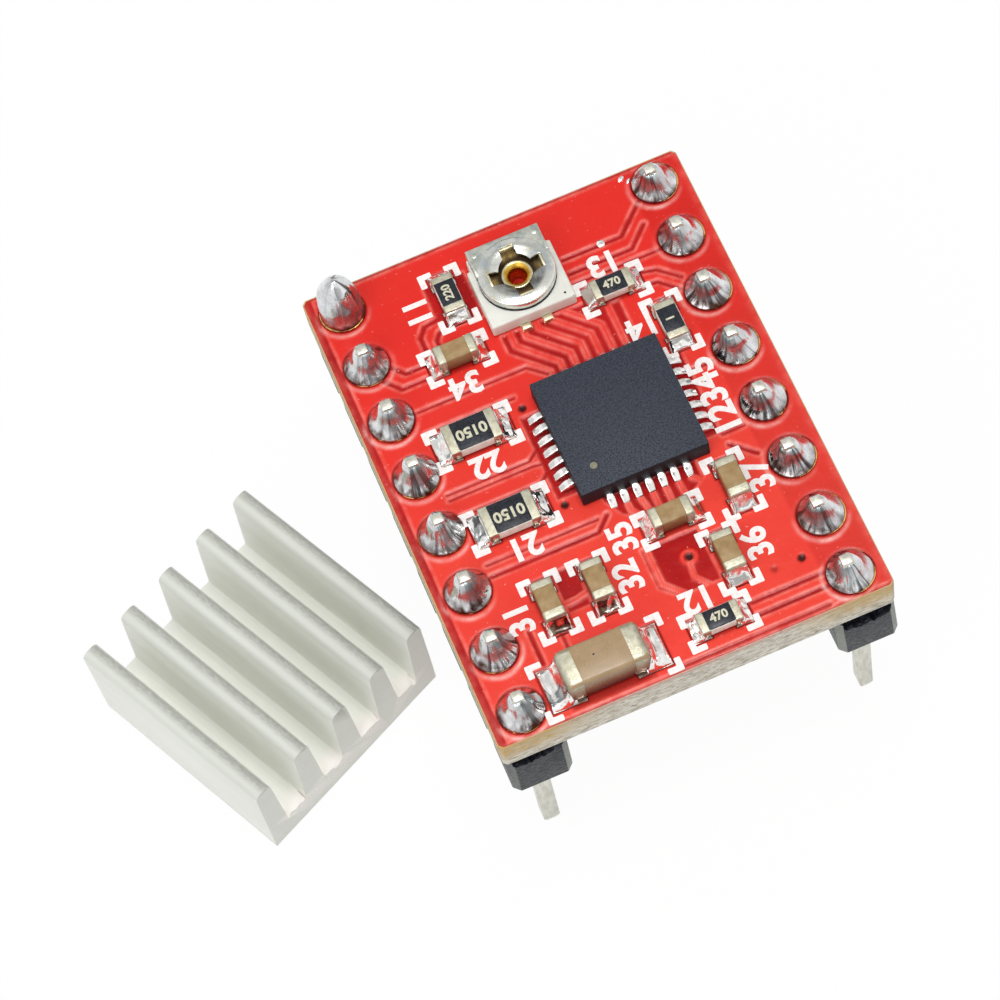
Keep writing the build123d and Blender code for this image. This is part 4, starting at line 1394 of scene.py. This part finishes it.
@dataclass
class DriverChip:
    """A leadless moulded package, soldered by seven bars a side, with a round mark by its first lead."""

    height: float = 0.85
    pitch: float = 0.5
    count: int = 7
    mark: Pair = (-0.39, -1.51)
    mark_radius: float = 0.15
    bar_width: float = 0.27
    reach: float = 0.55
    climb: float = 0.24

    def package(self) -> None:
        """Moulds the body, with crisp sawn sides and a small round mark by the first lead."""
        half = CHIP_SIDE / 2
        low, high = Z_TOP + STAND, Z_TOP + STAND + self.height
        shape = block((-half, -half, low), (half, half, high))
        rounded(shape, shape.edges, 0.035, 2)
        # the sawn sides are painted near black, partly their own tone and partly painted shade
        sawn = shape.verts.layers.float.new("sawn")
        for vert in shape.verts:
            vert[sawn] = 1.0 if vert.co.z < high - 0.02 else 0.0
        publish(placed(shape, at(*CHIP_AT)), "chip_package", EPOXY, replaces=["chip_body"], sharp=50)
        rim, top = self.mark_radius, high + 0.004
        mark = spun([(0.0, top), (rim - 0.02, top), (rim, high - 0.01)], 24)
        publish(placed(mark, at(*self.mark)), "first_lead_mark", LASER)

    def spots(self) -> list[Matrix]:
        """Returns where each lead meets the package, with X outwards."""
        middle = (self.count - 1) / 2
        return [
            at(*CHIP_AT, Z_TOP, 90 * side) @ at(CHIP_SIDE / 2, (lead - middle) * self.pitch)
            for side in range(4)
            for lead in range(self.count)
        ]

    def bar(self, dice: random.Random) -> Shape:
        """Flows one solder bar: high at the package, rounded along its length and out to a blunt end."""
        half = self.bar_width / 2
        shape = block((-0.12, -half, 0), (self.reach, half, 0.2))
        for level in (0.06, 0.2, 0.34, 0.46):
            sliced(shape, (level, 0, 0), (1, 0, 0))
        fat = dice.uniform(0.85, 1.12)
        for vert in shape.verts:
            far = clamped(vert.co.x / self.reach)
            if vert.co.z > 0.1:
                vert.co.z = self.climb * (1 - far) ** 1.25 + 0.085 * sin(pi * min(1, far * 1.02)) * fat + 0.05
            vert.co.y *= 1 + 0.14 * sin(pi * far) * fat
        rounded(shape, [e for e in shape.edges if max(v.co.z for v in e.verts) > 0.02], 0.075, 3)
        return shape

    def build(self) -> None:
        """Makes the package, the lead ends and the solder."""
        self.package()
        ends = [placed(block((-0.4, -0.115, 0.045), (0.012, 0.115, 0.24), 0.012, 1), spot) for spot in self.spots()]
        publish(joined(ends), "chip_lead_ends", TINNED, replaces=["chip_leads"])
        dice = random.Random(5)
        bars = [placed(self.bar(dice), spot) for spot in self.spots()]
        under = placed(block((-1.575, -1.575, 0.0), (1.575, 1.575, STAND), 0.01, 1), at(*CHIP_AT, Z_TOP))
        publish(
            joined(bars + [under]), "chip_solder_bars", PASTE_SOLDER, replaces=["chip_solder"], sharp=70
        )
        dress("chip_paddle", TINNED)
        dress("board_lands", TINNED)


# ---------------------------------------------------------------- two-ended parts


@dataclass
class TwoEndedPart:
    """What chip resistors and capacitors share: a place, a size, and solder at both ends."""

    spot: Spot
    kind: Kind

    def place(self) -> Matrix:
        """Returns where the part sits."""
        return at(self.spot.x, self.spot.y, Z_TOP, self.spot.turn)

    def show(
        self, shape: Shape, name: str, finish: Finish, slot: Slot, node: str = "", within: Matrix | None = None
    ) -> None:
        """Publishes one piece of the part, which may stand for a CAD node and have a place of its own on the part."""
        place = self.place() if within is None else self.place() @ within
        replaces = [f"{self.spot.node}_{node}"] if node else []
        publish(placed(shape, place), f"{self.spot.node}_{name}", finish, replaces=replaces)

    def core(self, inset: Triple, top: float) -> Shape:
        """Makes the block between the ends, set in from the part's length, width and underside, and from its top."""
        half, wide = self.kind.length / 2 - inset[0], self.kind.width / 2 - inset[1]
        return block((-half, -wide, STAND + inset[2]), (half, wide, STAND + self.kind.height - top))

    def fillet(self, side: int, dice: random.Random) -> Shape:
        """Flows the solder at one end: a lumpy pillow that climbs the end face and thins to the land's edge."""
        kind = self.kind
        end, reach, half = kind.length / 2, kind.reach, kind.width / 2 + LAND_MARGIN
        start, climb = end - kind.band * 0.8, 0.66 * kind.height + 0.04
        # How steeply it falls from the end face, how lumpy it is, and how high it still is half way out.
        fall, rough, slope = (4.5, 0.4, 0.24) if kind is LARGE_CAPACITOR else (2.4, 1.1, 0.0)
        shape = bmesh.new()
        bmesh.ops.create_grid(shape, x_segments=20, y_segments=14, size=1.0)
        offset = Vector((dice.uniform(0, 50), dice.uniform(0, 50), 0))
        tuck, lowest, lift = 0.1, 0.02, 0.035  # the first tenth of the sheet tucks in below the part
        for vert in shape.verts:
            share, across = (vert.co.x + 1) / 2, vert.co.y
            far = (share - tuck) / (1 - tuck)
            beyond = far > -1e-6
            x = end + far * reach if beyond else start + (end - lowest - start) * share / tuck
            lump = noise.noise(Vector((x * 2.6, across * half * 2.6, 0)) + offset)
            fine = noise.noise(Vector((x * 6.5, across * half * 6.5, 3)) + offset)
            side_round = sqrt(max(0.0, 1 - max(0.0, (abs(across) - 0.72) / 0.28) ** 2))
            toe_round = sqrt(max(0.0, 1 - max(0.0, (far - 0.8) / 0.2) ** 2))
            swell = (0.085 + 0.09 * rough * lump + 0.045 * rough * fine) * sin(pi * clamped(far)) ** 0.6
            rise = (climb - slope) * max(0.0, 1 - far) ** fall + slope * min(1.0, 1 - far) + swell
            z = lowest + (rise + lift) * side_round * toe_round if beyond else lift
            vert.co = Vector((x, across * half * (1 - 0.05 * max(0.0, far) ** 2), max(lowest, z)))
        for vert in grown(shape):
            vert.co.z = 0.0
        return placed(closed_below(shape), Matrix.Rotation(0 if side > 0 else pi, 4, "Z"))

    def solder(self, seed: int) -> list[Shape]:
        """Returns both ends' solder in place."""
        dice = random.Random(seed)
        return [placed(self.fillet(side, dice), self.place()) for side in (-1, 1)]

    def ends(self, bevel: float) -> Shape:
        """Plates the two end terminals, rounded at their outer corners."""
        kind = self.kind
        near, far = kind.length / 2 - kind.band, kind.length / 2
        halves = []
        for left, right in ((-far, -near), (near, far)):
            shape = block((left, -kind.width / 2, STAND), (right, kind.width / 2, STAND + kind.height))
            outer = [e for e in shape.edges if any(abs(abs(v.co.x) - far) < 1e-5 for v in e.verts)]
            halves.append(self.shade(rounded(shape, outer, bevel, 4)))
        return joined(halves)

    def shade(self, shape: Shape) -> Shape:
        """Paints shade and a reflection of the board's red on the lower parts of a shape."""
        tall = self.kind.height
        layer = shape.verts.layers.float.new("shade")
        for vert in shape.verts:
            vert[layer] = clamped((STAND + tall - 0.09 - vert.co.z) / (0.52 * tall)) ** 0.8
        return shape


@dataclass
class Resistor(TwoEndedPart):
    """A flat chip resistor: white ceramic, a dark fired glaze with plain code digits, wrapped tin ends."""

    code: str = "220"

    def build(self, print_words: Callable[[str, float, float, float, float], Shape], seed: int) -> list[Shape]:
        """Makes the pieces.

        Args:
            print_words: makes raised digits centred on a place.
            seed: the part's number, for its solder.

        Returns:
            The solder at its ends.
        """
        kind, high = self.kind, STAND + self.kind.height
        slab_shape = self.core((0.04, 0.006, 0.04), 0.035)
        self.show(rounded(slab_shape, slab_shape.edges, 0.02), "slab", ALUMINA, Slot.ALUMINA, "ceramic")
        glaze = self.core((kind.band - 0.05, 0.03, kind.height - 0.05), -0.006)
        self.show(rounded(glaze, glaze.edges, 0.028, 3), "coat", GLAZE, Slot.GLAZE, "glaze")
        self.show(self.ends(0.05), "ends", END_TIN, Slot.END, "terminals")
        tall = 0.60 * kind.width * (0.92 if len(self.code) < 4 else 0.8)
        code = print_words(self.code, 0, 0, 180 if kind is SENSE_RESISTOR else 0, tall)
        self.show(code, "code", CODE_INK, Slot.GLAZE, within=at(0, 0, high + 0.006 - Z_TOP - 0.014))
        return self.solder(seed)


@dataclass
class Capacitor(TwoEndedPart):
    """A block capacitor: fired ceramic with a dipped metal cap over each end."""

    finish: Finish = CERAMIC
    soft: float = 0.07

    def build(self, seed: int) -> list[Shape]:
        """Makes the ceramic and its caps, and returns the solder at its ends."""
        body = self.core((0.05, 0.025, 0.03), 0.025)
        self.shade(rounded(body, body.edges, self.soft * 0.8, 3))
        self.show(body, "block", self.finish, Slot.CERAMIC, "body")
        self.show(self.ends(self.soft * 1.3), "ends", END_TIN, Slot.END, "caps")
        if self.kind is LARGE_CAPACITOR:
            top = STAND + self.kind.height - 0.022
            speck = spun([(0.0, top), (0.035, top), (0.05, top - 0.008)], 16)
            self.show(speck, "speck", CARBON, Slot.CERAMIC, within=at(-0.24, 0.12))
        return self.solder(seed)


@dataclass
class Spatter:
    """A via filled with solder, and two small splashes near the back right corner."""

    lumps: tuple[tuple[float, float, float, float, float, float], ...] = (
        (3.52, 7.35, 0.17, 0.17, 0.06, 0.0), (5.28, 9.6, 0.16, 0.1, 0.07, 35.0), (5.5, 9.4, 0.13, 0.06, 0.05, 50.0),
    )

    def build(self) -> list[Shape]:
        """Returns the lumps, each a flattened dome of its own size and turn."""
        shapes = []
        for index, (x, y, long, wide, high, turn) in enumerate(self.lumps):
            shape = bmesh.new()
            bmesh.ops.create_icosphere(shape, subdivisions=3, radius=1.0)
            for vert in shape.verts:
                vert.co *= 1 + 0.14 * noise.noise(vert.co * 1.6 + Vector((index * 5.0, 0, 0)))
            shapes.append(placed(shape, at(x, y, Z_TOP, turn) @ Matrix.Diagonal((long, wide, high, 1))))
        return shapes


# ---------------------------------------------------------------- trimmer


@dataclass
class Trimmer:
    """A square trimmer: white base, stamped rotor with a driver cross, rolled brass eyelet and terminals.

    The funnel is the eyelet's outline, as radius and height.
    """

    half_width: float = 1.68
    front: float = 1.66
    back: float = 1.47
    base_low: float = 0.05
    base_high: float = 0.70
    rotor_radius: float = 1.47
    rotor_low: float = 0.85
    rotor_high: float = 1.21
    sheet: float = 0.1
    cross_width: float = 0.58
    cross_reach: float = 1.1
    plate_half: float = 1.46
    dish: tuple[Pair, ...] = (  # radius, and depth below the ring, from the ring to the rotor's floor
        (1.10, 0.0), (1.04, 0.005), (0.98, 0.016), (0.92, 0.034), (0.86, 0.058), (0.80, 0.088), (0.74, 0.124),
        (0.68, 0.164), (0.62, 0.206), (0.56, 0.245), (0.50, 0.275), (0.44, 0.29), (0.44, 0.36), (0.54, 0.335),
        (0.68, 0.25), (0.84, 0.15),
    )
    rim: tuple[Pair, ...] = (  # how far in from the rotor's edge, and depth below the ring
        (0.0, 0.12), (0.006, 0.095), (0.022, 0.073), (0.048, 0.058), (0.085, 0.048), (0.15, 0.033), (0.24, 0.014),
        (0.32, 0.003),
    )
    funnel: tuple[Pair, ...] = (
        (0.315, 0.05), (0.56, 0.05), (0.57, 0.09), (0.56, 0.13), (0.42, 0.13), (0.42, 0.815), (0.57, 0.815),
        (0.605, 0.835), (0.60, 0.862), (0.565, 0.878), (0.52, 0.876), (0.48, 0.862), (0.44, 0.84), (0.40, 0.81),
        (0.36, 0.765), (0.33, 0.70), (0.315, 0.6),
    )

    def show(
        self, shape: Shape, name: str, finish: Finish, slot: Slot, node: str = "", sharp: float = 35.0,
        body: Body = Body.BOARD,
    ) -> None:
        """Publishes one piece in place, which may stand for a CAD node."""
        replaces = [f"trimmer_{node}"] if node else []
        publish(placed(shape, at(*TRIMMER_AT, Z_TOP)), f"trimmer_{name}", finish, body, replaces, sharp)

    def drum(self, radius: float, low: float, high: float, steps: int) -> Shape:
        """Makes an upright cylinder to cut with."""
        return spun([(0.0, low), (radius, low), (radius, high), (0.0, high)], steps)

    def base(self) -> None:
        """Moulds the base with two stepped back corners, and the two dark spots on its top."""
        wide, front, back, inner, step = self.half_width, self.front, self.back, self.half_width - 0.16, self.back - 0.5
        outline = [
            (-wide, -front), (wide, -front), (wide, step), (inner, step), (inner, back), (-inner, back),
            (-inner, step), (-wide, step),
        ]
        shape = slab(outline, self.base_low, self.base_high)
        rounded(shape, shape.edges, 0.08, 4)
        self.show(cut(shape, self.drum(0.42, -0.5, 1.5, 40)), "moulding", TRIMMER_WHITE, Slot.TRIMMER, "base")
        round_spot = spun([(0.0, 0.004), (0.045, 0.004), (0.055, -0.01)], 16)
        long_spot = block((-0.07, -0.035, -0.01), (0.07, 0.035, 0.004), 0.01, 1)
        spots = [
            placed(round_spot, at(1.34, -1.40, self.base_high)),
            placed(long_spot, at(1.6, -1.58, self.base_high - 0.02, 60)),
        ]
        self.show(joined(spots), "gate_marks", CARBON, Slot.TRIMMER)

    def cross(self) -> Shape:
        """Makes the tool that cuts the driver cross: two bars and a disc, with the petals' tips rounded."""
        half, reach, low, high = self.cross_width / 2, self.cross_reach, 0.5, 1.6
        across = block((-reach, -half, low), (reach, half, high))
        along = block((-half, -reach, low), (half, reach, high))
        tool = cut(cut(across, along, "UNION"), placed(self.drum(0.67, low, high, 48), at(0.02, 0.08)), "UNION")
        for size, segments, inner in ((0.2, 6, True), (0.05, 2, False)):
            corners = [e for e in standing(tool, 0.5) if e.calc_face_angle(0.0) > 0.35]
            rounded(tool, [e for e in corners if (e.verts[0].co.xy.length < 0.9) == inner], size, segments)
        return tool

    def rotor(self) -> None:
        """Stamps the rotor: turned-down rim, flat ring, four petals dished to the floor, and the cross."""
        radius, low, high, sheet = self.rotor_radius, self.rotor_low, self.rotor_high, self.sheet
        outline = [(radius, low)]
        outline += [(radius - inset, high - depth) for inset, depth in self.rim]
        outline += [(away, high - depth) for away, depth in self.dish]
        outline += [(1.0, high - sheet), (radius - sheet, high - sheet), (radius - sheet, low)]
        stamped = cut(spun(outline, 96, closed=True), self.cross())
        edges = [e for e in stamped.edges if len(e.link_faces) == 2 and e.calc_face_angle(0.0) > 0.9]
        rounded(stamped, edges, 0.02, 2)
        painted_petal_shade = stamped.verts.layers.float.new("painted_petal_shade")
        for vert in stamped.verts:
            x, y, out = vert.co.x, vert.co.y, vert.co.xy.length
            share = (0.95 if x > 0 else 0.72) if y < -0.05 else 0.08  # painted shade on the two petals in front
            patchy = 0.9 + 0.5 * noise.noise(vert.co * 3.1)
            vert[painted_petal_shade] = clamped((1.14 - out) / 0.12) * min(1.0, share * patchy)
        self.show(stamped, "cross_rotor", NICKEL, Slot.NICKEL, "rotor", 40, Body.ROTOR)
        floor_low, floor_high = 0.775, 0.80
        section = [(0.43, floor_low), (1.16, floor_low)] + [(away, floor_high) for away in (1.16, 0.92, 0.7, 0.43)]
        floor = spun(section, 64, closed=True)
        # painted shade: the floor is darker towards the middle, below the petals
        shade = floor.verts.layers.float.new("shade")
        for vert in floor.verts:
            vert[shade] = clamped((0.92 - vert.co.xy.length) / 0.15)
        self.show(floor, "contact_spring", SPRING, Slot.NICKEL, "", 40, Body.ROTOR)
        half, ramps = self.cross_width / 2 - 0.01, []
        for arm in range(4):
            end = block((0.93, -half, floor_high), (self.cross_reach - 0.004, half, high - 0.05))
            inner = [v for v in end.verts if v.co.x < 1.0 and v.co.z > 1.0]
            bmesh.ops.translate(end, vec=(0.075, 0, 0), verts=inner)
            ramps.append(placed(rounded(end, end.edges, 0.015, 2), at(0, 0, 0, 90 * arm)))
        self.show(joined(ramps), "cross_ends", PALE_GOLD, Slot.NICKEL, "", 40, Body.ROTOR)

    def terminals(self) -> None:
        """Folds the centre terminal's plate over the back, and the two front strips."""
        top, back, base, half = self.rotor_high - 0.06, self.back, self.base_high, self.plate_half
        clear = self.rotor_radius - 0.06
        plate = block((-half, 0.35, top - 0.09), (half, back + 0.09, top), 0.025, 2)
        wall = block((-half, back - 0.02, base - 0.02), (half, back + 0.09, top - 0.03), 0.025, 2)
        pieces = [cut(sheet, self.drum(clear, 0.2, 1.5, 96)) for sheet in (plate, wall)]
        pieces.append(block((-0.42, back, 0.0), (0.42, back + 0.09, base + 0.05), 0.03, 2))
        pieces.append(block((-0.21, back, 0.0), (0.21, back + 0.3, 0.09), 0.03, 2))
        for low in (-1.455, 1.415):
            pieces.append(block((low, 0.45, base - 0.02), (low + 0.04, back + 0.05, top - 0.02), 0.01, 1))
        for x in (-1.2, 1.22):
            dimple = spun([(0.0, 0.012), (0.05, 0.011), (0.09, 0.006), (0.12, -0.01)], 20)
            pieces.append(placed(dimple, at(x, 1.25, top)))
        self.show(joined(pieces), "centre_plate", NICKEL_DULL, Slot.NICKEL, "wiper_terminal")
        strips = []
        for side in (-1, 1):
            flat = block((-0.21, -0.27, 0.0), (0.21, 0.5, 0.1), 0.02, 2)
            nose = block((-0.2, -0.27, 0.0), (0.2, -0.01, 0.2), 0.06, 3)
            strips.append(placed(joined([flat, nose]), at(side * 0.43, -self.front)))
        self.show(joined(strips), "front_strips", PALE_GOLD, Slot.END, "end_terminals")

    def build(self) -> None:
        """Makes the whole trimmer."""
        self.base()
        self.rotor()
        self.show(spun(self.funnel, 64, closed=True), "rolled_eyelet", BRASS, Slot.BRASS, "eyelet", 60)
        self.terminals()
        ring = spun([(0.75, 0.70), (1.475, 0.70), (1.475, 0.745), (0.75, 0.745)], 72, closed=True)
        opening = slab([(0.0, 0.2), (1.9, 2.0), (-1.9, 2.0)], 0.5, 1.0)
        self.show(cut(ring, opening), "carbon_ring", CARBON, Slot.TRACK, "track")


# ---------------------------------------------------------------- heat sink


@dataclass
class HeatSink:
    """An extruded bar end with five tapered fins, sawn to length with ragged floors at the near end.

    The fins' tips are rubbed along a line between two distances from their middle. A tear is one of a few depths.
    """

    width: float = 9.0
    length: float = 9.1
    height: float = 4.8
    base: float = 1.35
    fins: int = 5
    root: float = 1.04
    tip: float = 0.74
    x: float = -14.25
    y: float = 0.32
    turn: float = 26.0
    tip_radius: float = 0.25
    root_radius: float = 0.05
    slices: int = 24
    tears: tuple[float, ...] = (0.0, 0.05, 0.12, 0.2, 0.3)
    torn_length: float = 0.5
    rub: Pair = (0.1, 0.3)

    def pitch(self) -> float:
        """Returns the distance from fin to fin."""
        return (self.width - self.tip) / (self.fins - 1)

    def outline(self) -> list[Pair]:
        """Returns the section: the base with its fins, upright on the outside."""
        half = self.width / 2
        points = [(-half, 0.0)]
        for fin in range(self.fins):
            middle = -half + self.tip / 2 + fin * self.pitch()
            if fin:
                points.append((middle - self.root / 2, self.base))
            points += [(middle - self.tip / 2, self.height), (middle + self.tip / 2, self.height)]
            if fin < self.fins - 1:
                points.append((middle + self.root / 2, self.base))
        return points + [(half, 0.0)]

    def bar(self) -> Shape:
        """Extrudes the bar, eases its edges and divides it finely enough to roughen."""
        shape = slab(self.outline(), -self.length / 2, self.length / 2)
        tips = [e for e in standing(shape, 1) if e.verts[0].co.y > self.height - 0.01]
        rounded(shape, tips, self.tip_radius, 5)
        roots = [e for e in standing(shape, 1) if abs(e.verts[0].co.y - self.base) < 0.01]
        rounded(shape, roots, self.root_radius)
        for level in (self.base + 0.5, self.base + 1.3):
            sliced(shape, (0, level, 0), (0, 1, 0))
        for step in range(1, self.slices):
            sliced(shape, (0, 0, -self.length / 2 + self.length * step / self.slices), (0, 0, 1))
        near = self.length / 2 - 0.01
        ends = [e for e in shape.edges if all(v.co.z > near for v in e.verts) and e.calc_length() > 0.3]
        for edge in ends:
            bmesh.ops.subdivide_edges(shape, edges=[edge], cuts=int(edge.calc_length() / 0.14))
        return shape

    def build(self) -> None:
        """Roughens the sawn end, and paints rubbed tips, torn floors and shade on the fin tops, end and outer sides."""
        shape = self.bar()
        near, half, pitch = self.length / 2, self.width / 2, self.pitch()
        tip, sawn = (shape.verts.layers.float.new(name) for name in ("tip", "sawn"))
        dice = random.Random(5)
        for vert in shape.verts:
            wave = noise.noise(Vector((vert.co.x * 0.6, vert.co.y * 0.6, vert.co.z * 0.35)))
            on_fin = (vert.co.x + half - self.tip / 2 + pitch / 2) % pitch - pitch / 2
            if vert.co.y > self.height - 0.2 and self.rub[0] < on_fin < self.rub[1]:
                vert[tip] = 1.0
            floor = self.base - 0.05 < vert.co.y < self.base + 0.12 and abs(on_fin) > self.root / 2 - 0.12
            if floor and vert.co.z > near - self.torn_length:
                vert[sawn] = 1.0
            vert.co.x += 0.012 * wave
            if vert.co.z > near - 0.01 and self.base - 0.05 < vert.co.y < self.base + 0.04:
                vert.co.y -= dice.choice(self.tears)
        # painted shade: the near end face, the outer sides a little, and the fin tops most
        shade = shape.loops.layers.float.new("shade")
        for face in shape.faces:
            outer = abs(face.normal.x) > 0.9 and abs(face.calc_center_median().x) > half - 0.1
            for loop in face.loops:
                top = clamped((loop.vert.co.y - self.height + 0.32) / 0.2)
                fade = clamped((half - loop.vert.co.x) / 3.0)
                loop[shade] = 0.12 + 0.18 * fade if face.normal.z > 0.7 else max(0.1 * outer, 0.5 * top)
        place = at(self.x, self.y, 0, self.turn) @ Matrix.Rotation(pi / 2, 4, "X")
        publish(placed(shape, place), "finned_heat_sink", ALUMINIUM, Body.SINK, ["heat_sink"], 28)


# ---------------------------------------------------------------- the whole module


def main() -> None:
    """Builds the studio and every sub-assembly, and reports each piece."""
    logging.basicConfig(level=logging.INFO, format="%(message)s")
    Studio().build()
    dress("board_core", LAMINATE)
    MaskedFace("mask_over_copper_top", "mask_top", TOP_COPPER, Z_TOP, 1.0).build()
    MaskedFace("mask_over_copper_bottom", "mask_bottom", BOTTOM_COPPER, Z_BOTTOM, -1.0, cell=0.1).build()
    marks = Print()
    marks.build()
    Headers().build()
    DriverChip().build()
    solder: list[Shape] = []
    for seed, (spot, kind, code) in enumerate(RESISTORS):
        solder += Resistor(spot, kind, code).build(marks.words, RESISTOR_SEED + seed)
    for seed, (spot, kind) in enumerate(CAPACITORS):
        look = {"finish": CERAMIC_LIGHT, "soft": 0.2} if kind is LARGE_CAPACITOR else {}
        solder += Capacitor(spot, kind, **look).build(CAPACITOR_SEED + seed)
    solder += Spatter().build()
    publish(joined(solder), "end_solder", PASTE_SOLDER, replaces=["chip_part_solder"], sharp=60)
    Trimmer().build()
    HeatSink().build()


if __name__ == "__main__":
    main()
